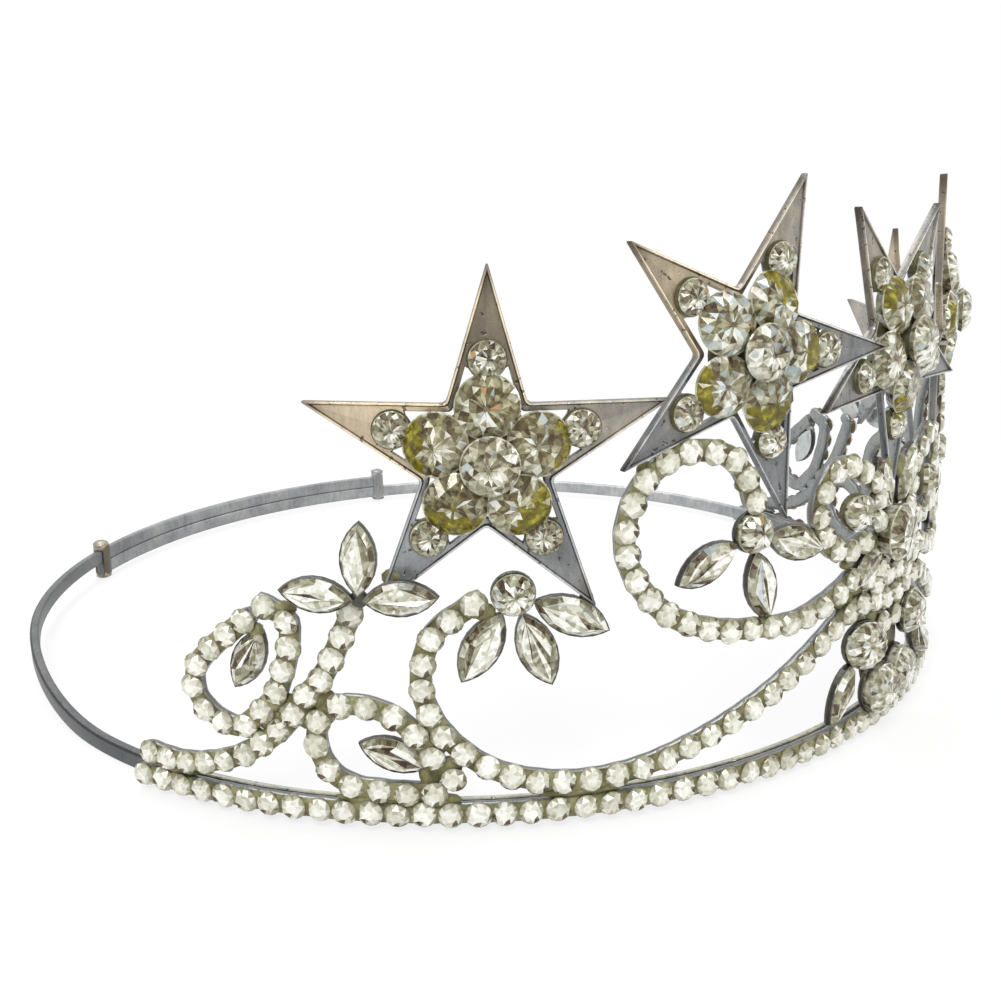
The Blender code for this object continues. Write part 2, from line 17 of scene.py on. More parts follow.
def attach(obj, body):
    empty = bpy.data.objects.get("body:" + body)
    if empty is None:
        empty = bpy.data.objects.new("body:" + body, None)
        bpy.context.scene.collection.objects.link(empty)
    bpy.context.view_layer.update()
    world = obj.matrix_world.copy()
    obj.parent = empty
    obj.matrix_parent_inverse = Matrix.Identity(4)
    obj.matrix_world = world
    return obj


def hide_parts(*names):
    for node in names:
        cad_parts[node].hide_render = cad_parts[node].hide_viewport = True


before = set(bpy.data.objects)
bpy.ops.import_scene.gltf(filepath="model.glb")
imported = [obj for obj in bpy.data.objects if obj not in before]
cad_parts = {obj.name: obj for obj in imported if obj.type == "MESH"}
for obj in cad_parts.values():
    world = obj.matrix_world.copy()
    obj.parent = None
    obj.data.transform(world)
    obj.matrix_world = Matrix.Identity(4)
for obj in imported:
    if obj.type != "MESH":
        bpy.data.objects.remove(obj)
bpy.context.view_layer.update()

# %% [markdown]
# ## The wall
# All the ornament stands on one upright wall, bent to a circle round the head. It is much
# easier to draw flat, so a place on it is given by s, the way along it from the centre front,
# z, the height, and out, the distance in front of the castings' face. One function bends that
# flat drawing to the circle, and another gives a small drawing board that stands on it. A board
# is a matrix, so a piece is moved or turned on it by multiplying with another matrix.

# %% The wall's measures, in millimetres
MM = 0.001
HOOP_AXIS_Y = 3.8
WALL_R = 89.9
CAST_BACK = -1.0


def moved(x=0.0, y=0.0, z=0.0):
    return Matrix.Translation((x, y, z))


def turned(degrees, axis="Z"):
    return Matrix.Rotation(math.radians(degrees), 4, axis)


def on_wall(s, z, out=0.0):
    """A point of the wall in metres."""
    angle = s / WALL_R
    reach = WALL_R + out
    return Vector((reach * math.sin(angle), HOOP_AXIS_Y - reach * math.cos(angle), z)) * MM


def board(s, z, out=0.0, turn=0.0):
    """A drawing board on the wall: X along it, Y up and Z out of it, in millimetres."""
    facing = Matrix.Rotation(s / WALL_R, 4, "Z") @ turned(90.0, "X")
    return Matrix.Translation(on_wall(s, z, out)) @ facing @ turned(turn) @ Matrix.Scale(MM, 4)


print("the wall is", round(2 * WALL_R), "mm across")

# %% [markdown]
# ## The drawing of the scrolls
# Each scroll is drawn on the flat wall as a few points, (s, z) in millimetres, that its middle
# line passes through. Only the side at -X is drawn. The castings come in pairs, so the other
# side is the mirror image.

# %% Points of the scrolls
SCROLLS = {
    "tail": [(-121.8, 6.3), (-116.0, 6.1), (-111.3, 6.9), (-106.4, 8.6), (-101.6, 11.6), (-98.0, 14.9),
             (-95.6, 18.5), (-93.0, 21.5), (-91.2, 24.7), (-89.7, 27.9), (-88.3, 31.0)],
    "leaf": [(-100.2, 31.4), (-97.2, 29.6), (-97.2, 26.0), (-98.4, 21.8), (-99.9, 18.3), (-102.5, 15.5),
             (-105.6, 13.2), (-109.3, 14.2), (-112.1, 17.0), (-112.2, 20.6), (-109.8, 23.7),
             (-106.6, 26.5), (-103.4, 29.1)],
    "curl": [(-78.3, 10.9), (-80.7, 14.2), (-83.3, 16.5), (-86.7, 17.8), (-90.3, 17.9), (-93.2, 15.9),
             (-94.1, 12.4), (-92.5, 8.3), (-89.2, 6.2), (-85.4, 5.7), (-81.6, 5.5), (-78.2, 5.5)],
    "great": [(-72.4, 32.3), (-77.8, 28.0), (-79.5, 21.0), (-77.3, 14.9), (-71.0, 9.1),
              (-62.0, 6.4), (-52.0, 6.5), (-41.5, 9.0), (-30.0, 13.2), (-21.8, 17.2),
              (-15.5, 20.6), (-12.0, 22.1), (-8.0, 22.2), (-2.0, 21.4)],
    "arch": [(-33.2, 42.5), (-34.8, 46.2), (-37.2, 48.9), (-40.6, 50.2), (-44.2, 50.3), (-48.0, 48.6),
             (-50.6, 46.0), (-52.1, 42.6), (-52.5, 38.6), (-51.0, 34.0), (-47.5, 29.5), (-43.5, 26.9),
             (-37.5, 24.9), (-30.0, 23.8), (-24.0, 23.5), (-19.3, 24.5), (-15.4, 25.7), (-12.4, 26.9)],
    "eye": [(-7.6, 41.0), (-12.3, 43.7), (-16.4, 44.6), (-19.5, 42.7), (-20.9, 39.4), (-20.0, 36.0),
            (-17.8, 33.1), (-13.9, 31.7), (-9.6, 32.1)],
}
BASE_ENDS = [(-123.3, 2.4), (123.3, 2.4)]
SIDES = {"left": 1.0, "right": -1.0}
print("points drawn:", {name: len(points) for name, points in SCROLLS.items()})

# %% [markdown]
# ## Smooth lines
# A spline of the kind that passes through all its points is quick to work out by hand. A curve
# object is smooth too, but its points would have to be read back before they could be bent with
# the wall. walk() gives equal steps along a line, which is what both a row of stones and the
# sections of a casting need.

# %% Splines
CURVE_STEPS, STRAIGHT_STEPS = 24, 300


def spline_point(four, share):
    """A point between the middle two of four points, on a curve through all of them. The square
    roots keep tight bends from looping."""
    times = [0.0]
    for first, second in zip(four, four[1:]):
        times.append(times[-1] + math.sqrt((second - first).length))
    now = times[1] + (times[2] - times[1]) * share
    level = list(four)
    for depth in (1, 2, 3):
        spans = [(times[i], times[i + depth]) if depth < 3 else (times[1], times[2])
                 for i in range(4 - depth)]
        level = [level[i].lerp(level[i + 1], (now - low) / (high - low))
                 for i, (low, high) in enumerate(spans)]
    return level[0]


def smooth_line(points, side=1.0):
    """Close-set points of a line on the flat wall; side -1 mirrors it."""
    drawn = [Vector((side * s, z)) for s, z in points]
    if len(drawn) == 2:
        return [drawn[0].lerp(drawn[1], step / STRAIGHT_STEPS) for step in range(STRAIGHT_STEPS + 1)]
    run = [drawn[0] * 2.0 - drawn[1]] + drawn + [drawn[-1] * 2.0 - drawn[-2]]
    line = []
    for index in range(1, len(run) - 2):
        four = run[index - 1:index + 3]
        line += [spline_point(four, step / CURVE_STEPS) for step in range(CURVE_STEPS)]
    return line + [drawn[-1]]


def length_of(line):
    return sum((there - here).length for here, there in zip(line, line[1:]))


print("lengths in mm:", {name: round(length_of(smooth_line(points))) for name, points in SCROLLS.items()})


# %% Steps along a line
def walk(line, count, overrun=0.0):
    """count equal steps along a line, as (place, heading); overrun lengthens both ends."""
    first = (line[0] - line[1]).normalized() * overrun
    last = (line[-1] - line[-2]).normalized() * overrun
    line = [line[0] + first] + line + [line[-1] + last] if overrun else line
    lengths = [0.0]
    for here, there in zip(line, line[1:]):
        lengths.append(lengths[-1] + (there - here).length)
    found = []
    index = 0
    for number in range(count):
        goal = lengths[-1] * number / (count - 1)
        while index < len(line) - 2 and lengths[index + 1] < goal:
            index += 1
        part = (goal - lengths[index]) / max(lengths[index + 1] - lengths[index], 1e-9)
        heading = (line[index + 1] - line[index]).normalized()
        found.append((line[index].lerp(line[index + 1], part), heading))
    return found


print("three steps along the base:", [round(spot.x, 1) for spot, heading in walk(smooth_line(BASE_ENDS), 3)])

# %% [markdown]
# ## A small language for finishes
# A finish is a tree of shader nodes. Written node by node it is long and hard to read, so a
# Wire stands for one output of a node, and sums on wires add the Math nodes. Any other node
# comes from Finish.node(): its type, its settings, then its sockets. Colours are blended with
# a Mix node, because a Math node would turn them grey.

# %% Wires
class Wire:
    """One output socket of a finish, ready for sums."""

    def __init__(self, finish, socket):
        self.finish = finish
        self.socket = socket

    def sum(self, operation, first, second):
        return self.finish.node("ShaderNodeMath", {"operation": operation}, {0: first, 1: second})

    def __add__(self, other):
        return self.sum("ADD", self, other)

    def __sub__(self, other):
        return self.sum("SUBTRACT", self, other)

    def __rsub__(self, other):
        return self.sum("SUBTRACT", other, self)

    def __mul__(self, other):
        return self.sum("MULTIPLY", self, other)

    __radd__ = __add__
    __rmul__ = __mul__


print("a wire knows:", [name for name in vars(Wire) if callable(vars(Wire)[name])])


# %% Finishes
class Finish:
    """A tree of nodes round one surface; constants are set on that surface's own sockets."""

    def __init__(self, name, surface="Principled BSDF", owner=None, **constants):
        self.owner = owner or bpy.data.materials.new(name)
        self.owner.use_nodes = True
        self.tree = self.owner.node_tree
        self.surface = self.tree.nodes[surface]
        for socket, value in constants.items():
            self.surface.inputs[socket.replace("_", " ")].default_value = value

    def node(self, kind, settings=None, sockets=None, out=0):
        made = self.tree.nodes.new(kind)
        for key, value in (settings or {}).items():
            if key == "stops":
                for spare in range(len(value) - 2):
                    made.color_ramp.elements.new(0.5)
                for stop, (place, colour) in zip(made.color_ramp.elements, value):
                    stop.position = place
                    stop.color = (*colour, 1.0)
            else:
                setattr(made, key, value)
        for key, value in (sockets or {}).items():
            if isinstance(value, Wire):
                self.tree.links.new(value.socket, made.inputs[key])
            else:
                made.inputs[key].default_value = value
        return Wire(self, made.outputs[out])

    def mix(self, share, first, second, way="MIX"):
        first, second = [(*colour, 1.0) if isinstance(colour, tuple) else colour
                         for colour in (first, second)]
        return self.node("ShaderNodeMix", {"data_type": "RGBA", "blend_type": way},
                         {0: share, 6: first, 7: second}, 2)

    def place(self, scale=(1.0, 1.0, 1.0)):
        """Where a point is on the object, in metres, stretched by scale."""
        where = self.node("ShaderNodeTexCoord", out="Object")
        return self.node("ShaderNodeMapping", sockets={"Vector": where, "Scale": scale})

    def far_off(self):
        """How far a point is from the object's own middle."""
        return self.node("ShaderNodeVectorMath", {"operation": "LENGTH"}, {0: self.place()}, "Value")

    def noise(self, per_metre, detail=3.0, stretch=(1.0, 1.0, 1.0)):
        sockets = {"Vector": self.place(stretch), "Scale": per_metre, "Detail": detail}
        return self.node("ShaderNodeTexNoise", sockets=sockets)

    def ramp(self, value, *stops):
        return self.node("ShaderNodeValToRGB", {"stops": stops}, {0: value})

    def level(self, value, low, high, start=0.0, end=1.0):
        """start below low, end above high and a smooth change between."""
        return self.node("ShaderNodeMapRange", {"interpolation_type": "SMOOTHSTEP"},
                         {0: value, 1: low, 2: high, 3: start, 4: end})

    def carried(self, name):
        """A number that the mesh carries on each face."""
        return self.node("ShaderNodeAttribute", {"attribute_name": name}, out="Fac")

    def bump(self, height, strength, distance):
        sockets = {"Height": height, "Strength": strength, "Distance": distance}
        return self.node("ShaderNodeBump", sockets=sockets)

    def feed(self, **links):
        for socket, wire in links.items():
            self.tree.links.new(wire.socket, self.surface.inputs[socket.replace("_", " ")])
        print("finish", self.owner.name, "has", len(self.tree.nodes), "nodes")
        return self.owner


print("a finish knows:", [name for name in vars(Finish) if callable(vars(Finish)[name])])

# %% [markdown]
# ## Old silver plate
# The castings are white metal with a thin silver plate that has aged: soft grey where it was
# handled, warm brown where it tarnished, near black in the pits. A photograph of tarnish would
# be quick, but it would repeat from piece to piece, so noises of different size choose between
# those colours. Each face also carries a tone, so that rims, walls and backs can be told apart:
# it paints highlights on rims and shade on walls and in grooves. Each face carries a warmth too,
# because some points of the stars went browner than others. On a star the distance from its
# middle is known too, and darkens the very tips.

# %% Metal finishes
STREAKED = (1.0, 1.0, 0.3)
PIT_EDGE = (0.70, 0.77)


def old_silver(name, cool, warm, dark, rough=0.3, pitted=0.8, tips=None):
    """Aged plate: cool and warm are its two colours, dark the colour in its pits. tips gives
    the distances from the middle between which it darkens."""
    finish = Finish(name, Metallic=0.75)
    broad = finish.noise(190.0, 4.0)
    streaks = finish.noise(1300.0, 6.0, STREAKED)
    grain = finish.noise(4200.0, 2.0)
    specks = finish.noise(1000.0, 2.0)
    warmth = finish.level(broad * 0.9 + finish.carried("worn") - 0.45, 0.0, 1.0)
    colour = finish.mix(warmth, cool, warm)
    # the face tone brings in painted highlights on rims and painted shade on walls and in grooves
    light = finish.carried("tone") * (streaks * 1.5 + broad * 1.5 + grain * 0.9 + 0.05)
    shaded = finish.node("ShaderNodeCombineColor", sockets={0: light, 1: light, 2: light})
    colour = finish.mix(1.0, colour, shaded, "MULTIPLY")
    if tips:
        colour = finish.mix(finish.level(finish.far_off() + broad * 0.004, *tips) * 0.75, colour, dark)
    pits = finish.level(specks + grain * 0.12, *PIT_EDGE)
    colour = finish.mix(pits * pitted, colour, dark)
    roughness = streaks * 0.22 + broad * 0.14 + (rough - 0.18)
    bump = finish.bump(streaks + broad * 0.6 + grain * 0.4 - pits * 1.5, 0.5, 0.0001)
    return finish.feed(Base_Color=colour, Roughness=roughness, Normal=bump)


star_plate = old_silver("star_plate", (0.27, 0.28, 0.285), (0.47, 0.39, 0.275),
                        (0.05, 0.035, 0.025), tips=(0.0215, 0.0262))
channel_metal = old_silver("channel_metal", (0.27, 0.29, 0.30), (0.27, 0.26, 0.20),
                           (0.06, 0.06, 0.04), 0.32, 0.5)
hoop_metal = old_silver("hoop_metal", (0.30, 0.315, 0.33), (0.40, 0.385, 0.35),
                        (0.14, 0.13, 0.12), 0.42, 0.12)
old_brass = old_silver("old_brass", (0.36, 0.33, 0.26), (0.30, 0.24, 0.15),
                       (0.05, 0.04, 0.02), 0.4, 0.3)
cup_metal = old_silver("cup_metal", (0.05, 0.05, 0.048), (0.085, 0.075, 0.05),
                       (0.015, 0.015, 0.01), 0.30, 0.5)

# %% [markdown]
# ## Cement
# The small stones sit in a cement that has gone olive with age, and the large ones on a darker
# glue. Both are lumpy, so one broad noise chooses the colour and, with a finer one, the bumps.

# %% Cement and glue
OLIVE = ((0.3, (0.060, 0.054, 0.018)), (0.5, (0.165, 0.155, 0.064)), (0.72, (0.31, 0.295, 0.15)))


def olive_cement(name, depth=1.0):
    """depth below 1 makes it darker."""
    finish = Finish(name, Specular_IOR_Level=0.3)
    broad = finish.noise(420.0, 4.0)
    fine = finish.noise(2600.0, 2.0)
    stops = [(place, tuple(depth * part for part in colour)) for place, colour in OLIVE]
    roughness = fine * 0.4 + 0.25
    bump = finish.bump(broad + fine * 0.5, 0.5, 0.0002)
    return finish.feed(Base_Color=finish.ramp(broad, *stops), Roughness=roughness, Normal=bump)


cement = olive_cement("olive_cement")
dark_glue = olive_cement("dark_glue", 0.55)

# %% [markdown]
# ## Cut glass
# A stone is clear glass with a mirror foil behind it. Real glass with a foil would need many
# samples before it stopped being noisy, and what the eye sees is a mosaic of facets that each
# mirror something else. So the stones are cut as meshes, each facet carries the tone of what it
# mirrors, and the finish turns tones into colours, from brown through champagne to white, under
# a clear coat. Inside a facet a pattern of cells breaks the mirror image up, strongly in the
# large stones. Where the foil has gone a yellow varnish shows, and a few facets mirror the sky
# or flash orange.

# %% Foiled crystal
MIRRORED = ((0.0, (0.036, 0.021, 0.013)), (0.16, (0.100, 0.068, 0.040)), (0.32, (0.165, 0.152, 0.092)),
            (0.47, (0.262, 0.250, 0.165)), (0.64, (0.420, 0.410, 0.305)), (0.82, (0.610, 0.600, 0.510)),
            (1.0, (0.84, 0.84, 0.79)))
VARNISH = ((0.44, (0.070, 0.055, 0.004)), (0.72, (0.165, 0.138, 0.008)), (0.95, (0.36, 0.32, 0.04)))
ORANGE_FLASH, SKY = (0.40, 0.24, 0.10), (0.42, 0.52, 0.56)


def foiled_crystal(name, broken, per_metre):
    """broken tells how much a facet's mirror image is broken up, per_metre how finely. On a
    face worn is 1 where the foil has gone, 2 for a flash and below 0 for the sky."""
    finish = Finish(name, Metallic=0.1, Specular_IOR_Level=0.12, Coat_Weight=0.55,
                    Coat_Roughness=0.02, Coat_IOR=1.5)
    tone = finish.carried("tone")
    worn = finish.carried("worn")
    shards = finish.node("ShaderNodeTexVoronoi", {"feature": "F1"},
                         {"Vector": finish.place(), "Scale": per_metre}, "Color")
    shard = finish.node("ShaderNodeSeparateColor", sockets={0: shards})
    haze = finish.noise(800.0, 2.0)
    lit = tone + (shard - 0.5) * broken + (haze - 0.5) * 0.2
    colour = finish.ramp(lit, *MIRRORED)
    varnish = finish.ramp(haze + shard * 0.3, *VARNISH)
    colour = finish.mix(finish.level(worn, 0.0, 1.0), colour, varnish)
    colour = finish.mix(finish.level(worn, 1.2, 1.8), colour, ORANGE_FLASH)
    colour = finish.mix(finish.level(worn * -1.0, 0.0, 1.0) * 0.6, colour, SKY)
    return finish.feed(Base_Color=colour, Roughness=haze * 0.10 + 0.06)


crystal = foiled_crystal("foiled_crystal", 0.42, 1450.0)
row_crystal = foiled_crystal("row_crystal", 0.12, 1500.0)

# %% [markdown]
# ## Skins
# Most pieces are skins over a row of loops: a casting is one section carried along a line, a
# star is one profile carried round its outline. skin() joins such loops with four-sided faces.
# The tone and the wear that the finishes read are written on the faces. Painted corners would
# do that too, but they would blur over the edge of a facet.

# %% Faces and skins
PLAIN = 0.5


def new_blank():
    bm = bmesh.new()
    bm.faces.layers.float.new("tone")
    bm.faces.layers.float.new("worn")
    return bm


def facet(bm, corners, tone, worn=0.0, finish=0):
    """One face with the tone, wear and finish it carries."""
    face = bm.faces.new(corners)
    face[bm.faces.layers.float["tone"]] = tone
    face[bm.faces.layers.float["worn"]] = worn
    face.material_index = finish


def skin(bm, loops, paint=None, closed=False, finish=0):
    """Join loops of points; paint(row, step) gives a face's tone, warmth and perhaps finish.
    closed joins the last loop to the first, and otherwise both ends get a lid."""
    rows = [[bm.verts.new(point) for point in loop] for loop in loops]
    paint = paint or (lambda row, step: (PLAIN, 0.0))
    pairs = list(zip(rows, rows[1:])) + ([(rows[-1], rows[0])] if closed else [])
    count = len(rows[0])
    for row, (low, high) in enumerate(pairs):
        for step in range(count):
            after = (step + 1) % count
            marks = (*paint(row, step), finish)[:3]
            facet(bm, (low[step], low[after], high[after], high[step]), *marks)
    if not closed:
        for lid, row in ((rows[0], 0), (rows[-1], len(rows) - 2)):
            facet(bm, lid, *(*paint(row, 0), finish)[:3])


sample = new_blank()
print("a face carries:", sample.faces.layers.float.keys())
sample.free()

# %% [markdown]
# ## Pieces
# make_piece() turns a skin into an object, gives it its finishes and tells the frame which body
# it rides on and which solids it replaces. Edges sharper than the smooth angle stay crisp, and
# cut glass isn't smoothed at all. A piece with a home gets its own middle there, so that its
# finish can measure from it.

# %% Pieces
def add_object(name, data):
    thing = bpy.data.objects.new(name, data)
    bpy.context.scene.collection.objects.link(thing)
    return thing


def make_piece(name, bm, finishes, nodes=(), body="front", smooth=None, home=None):
    bmesh.ops.recalc_face_normals(bm, faces=bm.faces)
    if home is not None:
        bmesh.ops.transform(bm, matrix=home.inverted(), verts=bm.verts)
    mesh = bpy.data.meshes.new(name)
    bm.to_mesh(mesh)
    bm.free()
    for finish in finishes:
        mesh.materials.append(finish)
    if smooth is not None:
        mesh.shade_smooth()
        mesh.set_sharp_from_angle(angle=math.radians(smooth))
    piece = add_object(name, mesh)
    if home is not None:
        piece.matrix_world = home
    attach(piece, body)
    if nodes:
        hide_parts(*nodes)
    return piece


print("solids to dress:", len(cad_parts))

# %% [markdown]
# ## Cutting the stones
# There are three cuts: small stones for the rows, brilliants for the large round ones and
# navettes, which are pointed at both ends. All are built up from rings of corners on a board.
# Each facet is a face of its own, which keeps its edges crisp and lets it have its own tone.
# All tones come from a seeded draw, so the crown looks the same at every run.

# %% Rings and tones
def ring_on(bm, place, radius, height, count, turn=0.0, rng=None):
    """A ring of corners on a board; rng makes it a little uneven."""
    ring = []
    for step in range(count):
        a, r = step + turn, radius
        if rng:
            a, r = a + rng.uniform(-0.22, 0.22), r * rng.uniform(0.92, 1.08)
        a *= 2.0 * math.pi / count
        ring.append(bm.verts.new(place @ Vector((r * math.cos(a), r * math.sin(a), height))))
    return ring


def belt(bm, low, high, tone):
    for step in range(len(low)):
        after = (step + 1) % len(low)
        facet(bm, (low[step], low[after], high[after], high[step]), tone)


def draw(rng, middle, spread, dark=0.0, light=0.0):
    """A tone near middle, or now and then a very dark or a very light one."""
    luck = rng.random()
    if luck < dark:
        return rng.uniform(0.05, 0.26)
    if luck > 1.0 - light:
        return rng.uniform(0.92, 1.0)
    return min(max(middle + rng.uniform(-spread, spread), 0.0), 1.0)


def count_facets(cut, *measures):
    """How many facets one stone of a cut has."""
    bm = new_blank()
    cut(bm, Matrix.Identity(4), *measures)
    count = len(bm.faces)
    bm.free()
    return count


print("a drawn tone:", round(draw(random.Random(1), 0.5, 0.1), 2))

# %% [markdown]
# ## Small stones
# A small stone has a broad table that mirrors the light, cut into panels round its middle, and a
# narrow crown round it. Most have one dark patch, a painted reflection of the dark behind the
# camera. A plain mirror would show it only under the very same lamps, so it is painted: one panel,
# the spoke beside it and the star facet outside it go dark, on the side that dark_way gives.

# %% Small stones
STONE_R = 1.87
STONE_HEIGHTS = (0.3, 1.02, 1.62)
EIGHTH = math.pi / 4.0


def small_stone(bm, place, radius, low, girdle, top, rng, dark_way, dim=0.0):
    """A stone of a row between three heights: its foot, girdle and table. dim darkens it."""
    foot = ring_on(bm, place, radius * 0.90, low, 16)
    edge = ring_on(bm, place, radius, girdle - 0.12, 16)
    brow = ring_on(bm, place, radius * 0.96, girdle, 16)
    table = ring_on(bm, place, radius * 0.72, top, 8)
    inner = ring_on(bm, place, radius * 0.38, top + 0.03, 8, 0.5)
    # the foot and its low wall are painted dark: a painted shadow round the stone's edge
    facet(bm, foot, 0.2)
    belt(bm, foot, edge, 0.2)
    belt(bm, edge, brow, 0.55 - dim)
    light = rng.uniform(0.77, 0.93) - dim
    # the dark patch: a painted reflection of the dark behind the camera
    dark_reflection = round(dark_way / EIGHTH - 0.5) % 8 if rng.random() < 0.8 else -1
    facet(bm, inner, light + 0.10)
    for step in range(8):
        after = (step + 1) % 8
        here, middle, there = 2 * step, 2 * step + 1, (2 * step + 2) % 16
        lean = math.cos((step + 0.5) * EIGHTH - dark_way)
        crown = 0.53 - 0.17 * lean - dim
        star = draw(rng, 0.70 - 0.18 * lean - dim, 0.16, 0.02 + 0.08 * max(lean, 0.0), 0.12)
        panel = light - 0.06 * lean + rng.uniform(-0.12, 0.08)
        spoke = light + rng.uniform(-0.08, 0.12)
        if step == dark_reflection:
            panel, star = rng.uniform(0.05, 0.22), rng.uniform(0.10, 0.38)
        elif step == (dark_reflection + 1) % 8 and dark_reflection >= 0:
            spoke = rng.uniform(0.14, 0.40)
        flash = 2.0 if rng.random() < 0.015 else 0.0
        facet(bm, (table[step], brow[here], brow[middle]), draw(rng, crown, 0.12, 0.0, 0.10), flash)
        facet(bm, (table[after], brow[middle], brow[there]), draw(rng, crown, 0.12, 0.0, 0.10))
        facet(bm, (table[step], brow[middle], table[after]), star)
        facet(bm, (table[step], table[after], inner[step]), panel)
        facet(bm, (inner[step - 1], table[step], inner[step]), spoke)


print("facets of a small stone:", count_facets(small_stone, STONE_R, *STONE_HEIGHTS, random.Random(0), 0.0))

# %% [markdown]
# ## Brilliants
# The large round stones are brilliants. Through the table one sees the facets of the back as a
# sunburst. Clear glass would show it by itself, but slowly and only in this render, so the table
# is cut into long slices instead, which also look right in the exported model. Facets that face
# bright_way are lighter, and those on the side of loss_way may have lost their foil.

# %% Brilliants
def brilliant(bm, place, radius, low, girdle, table, rng, base=0.48, bright_way=-1.6, loss_way=0.0,
              loss=0.0, foot_share=0.9, sky=0.06, tint=0.0):
    """A large round stone between three heights. base is its middle tone, loss how far in from
    loss_way its foil has gone, sky the share of facets that mirror the sky, and tint how yellow
    the rest has gone."""
    rise = table - girdle
    foot = ring_on(bm, place, radius * foot_share, low, 32)
    edge = ring_on(bm, place, radius, girdle - 0.16, 32)
    brow = ring_on(bm, place, radius * 0.955, girdle, 32)
    mid = ring_on(bm, place, radius * 0.80, girdle + rise * 0.6, 16, 0.5, rng)
    top = ring_on(bm, place, radius * 0.60, table, 16, 0.0, rng)
    star = ring_on(bm, place, radius * 0.36, table + 0.02, 16, 0.5, rng)
    off = moved(rng.uniform(-0.1, 0.1) * radius, rng.uniform(-0.1, 0.1) * radius)
    eye = ring_on(bm, place @ off, radius * 0.09, table + 0.03, 16)

    def cut(corners, step, depth, tone):
        """A facet at a step round the stone; depth is how far out it lies."""
        way = 2.0 * math.pi * step / 16.0
        gone = math.cos(way - loss_way) * depth > 1.0 - loss and rng.random() < 0.94
        worn = 1.0 if gone else tint
        if not gone and rng.random() < sky:
            worn = -rng.uniform(0.5, 1.0)
        elif not gone and rng.random() < 0.004:
            worn = 2.0
        facet(bm, corners, tone, worn)

    facet(bm, foot, 0.3)
    belt(bm, edge, brow, 0.56)
    facet(bm, eye, rng.uniform(0.1, 0.5), 1.0 if loss > 0.6 else 0.0)
    for step in range(32):
        after = (step + 1) % 32
        wall = (foot[step], foot[after], edge[after], edge[step])
        facet(bm, wall, draw(rng, base, 0.16, 0.08, 0.02))
    for step in range(16):
        after, last = (step + 1) % 16, step - 1
        here, middle, there = 2 * step, 2 * step + 1, (2 * step + 2) % 32
        way = 2.0 * math.pi * (step + 0.5) / 16.0
        lean = max(math.cos(way - bright_way), -0.4)
        ray = draw(rng, base + 0.12 + 0.26 * lean, 0.2, 0.10, 0.08 + 0.16 * max(lean, 0.0))
        gap = draw(rng, base - 0.06 + 0.20 * lean, 0.2, 0.20, 0.06)
        rim = base + 0.02 + 0.18 * lean
        low_rim = rim - 0.04
        cut((star[last], top[step], star[step]), step, 0.48, ray)
        cut((star[last], star[step], eye[step]), step, 0.25, ray + rng.uniform(-0.1, 0.06))
        cut((top[step], top[after], star[step]), step + 0.5, 0.55, gap)
        cut((eye[step], star[step], eye[after]), step + 0.5, 0.25, gap - rng.uniform(0.0, 0.2))
        cut((top[step], mid[step], top[after]), step + 0.5, 0.72, draw(rng, rim, 0.24, 0.14, 0.1))
        cut((top[step], mid[last], brow[here], mid[step]), step, 0.86, draw(rng, rim, 0.2, 0.10, 0.06))
        cut((mid[step], brow[here], brow[middle]), step + 0.3, 0.95, draw(rng, low_rim, 0.22, 0.12, 0.06))
        cut((mid[step], brow[middle], brow[there]), step + 0.7, 0.95, draw(rng, low_rim, 0.22, 0.12, 0.06))


print("facets of a brilliant:", count_facets(brilliant, 4.0, 0.5, 1.4, 2.7, random.Random(0)))

# %% [markdown]
# ## Navettes
# A navette is a pointed oval with long slanting facets that meet along a keel. Its outline is
# two arcs, and drawing it in by an inset makes the arcs smaller round the same centres, so one
# function gives the stone's rings and later its cup's walls. Streaks of light run together at
# both tips, and one long side is lighter than the other.

# %% Navettes
NAVETTE_SHARES = (-1.0, -0.80, -0.45, 0.0, 0.45, 0.80)
KEEL_SHARES = (0.24, 0.13, 0.0, -0.12, -0.24)


def pointed_oval(length, width, inset=0.0, shares=NAVETTE_SHARES):
    """The outline of a navette, drawn in by inset all round."""
    half = length / 2.0
    arc = (half * half + width * width / 4.0) / width
    sag = arc - width / 2.0
    arc -= inset
    half = math.sqrt(arc * arc - sag * sag)
    upper = [(half * share, math.sqrt(max(arc * arc - (half * share) ** 2, 0.0)) - sag)
             for share in shares]
    return upper + [(-x, -y) for x, y in upper]


def navette(bm, place, length, width, low, girdle, table, rng, light_side=1.0):
    """A pointed stone between three heights. light_side tells which long side is lighter."""
    def ring(inset, height):
        return [bm.verts.new(place @ Vector((x, y, height)))
                for x, y in pointed_oval(length, width, inset)]

    foot, edge, brow = ring(0.3, low), ring(0.0, girdle - 0.1), ring(0.06, girdle)
    top = ring(width * 0.13, girdle + (table - girdle) * 0.62)
    keel = [bm.verts.new(place @ Vector((rng.uniform(-0.27, 0.27) * length, width * share, table)))
            for share in KEEL_SHARES]
    facet(bm, foot, 0.3)
    belt(bm, foot, edge, 0.36)
    belt(bm, edge, brow, 0.80)
    count = len(edge)
    for step in range(count):
        after = (step + 1) % count
        lit = light_side if step < count // 2 else -light_side
        crown = draw(rng, 0.54 + 0.12 * lit, 0.24, 0.16, 0.14)
        worn = -rng.random() if rng.random() < 0.12 else 0.0
        facet(bm, (brow[step], brow[after], top[after]), crown, worn)
        facet(bm, (brow[step], top[after], top[step]), draw(rng, crown, 0.08), worn)
    chain = [top[3]] + keel + [top[9]]
    for tip, rim in ((top[0], [top[1], top[2]] + chain + [top[10], top[11]]),
                     (top[6], [top[5], top[4]] + chain + [top[8], top[7]])):
        for number, (here, there) in enumerate(zip(rim, rim[1:])):
            lit = light_side * (1.0 - number / 4.5)
            tone = draw(rng, 0.64 + 0.14 * lit, 0.20, 0.12, 0.26)
            facet(bm, (tip, here, there), tone, -rng.random() if rng.random() < 0.08 else 0.0)


print("facets of a navette:", count_facets(navette, 9.6, 4.6, 0.5, 1.36, 2.6, random.Random(0)))

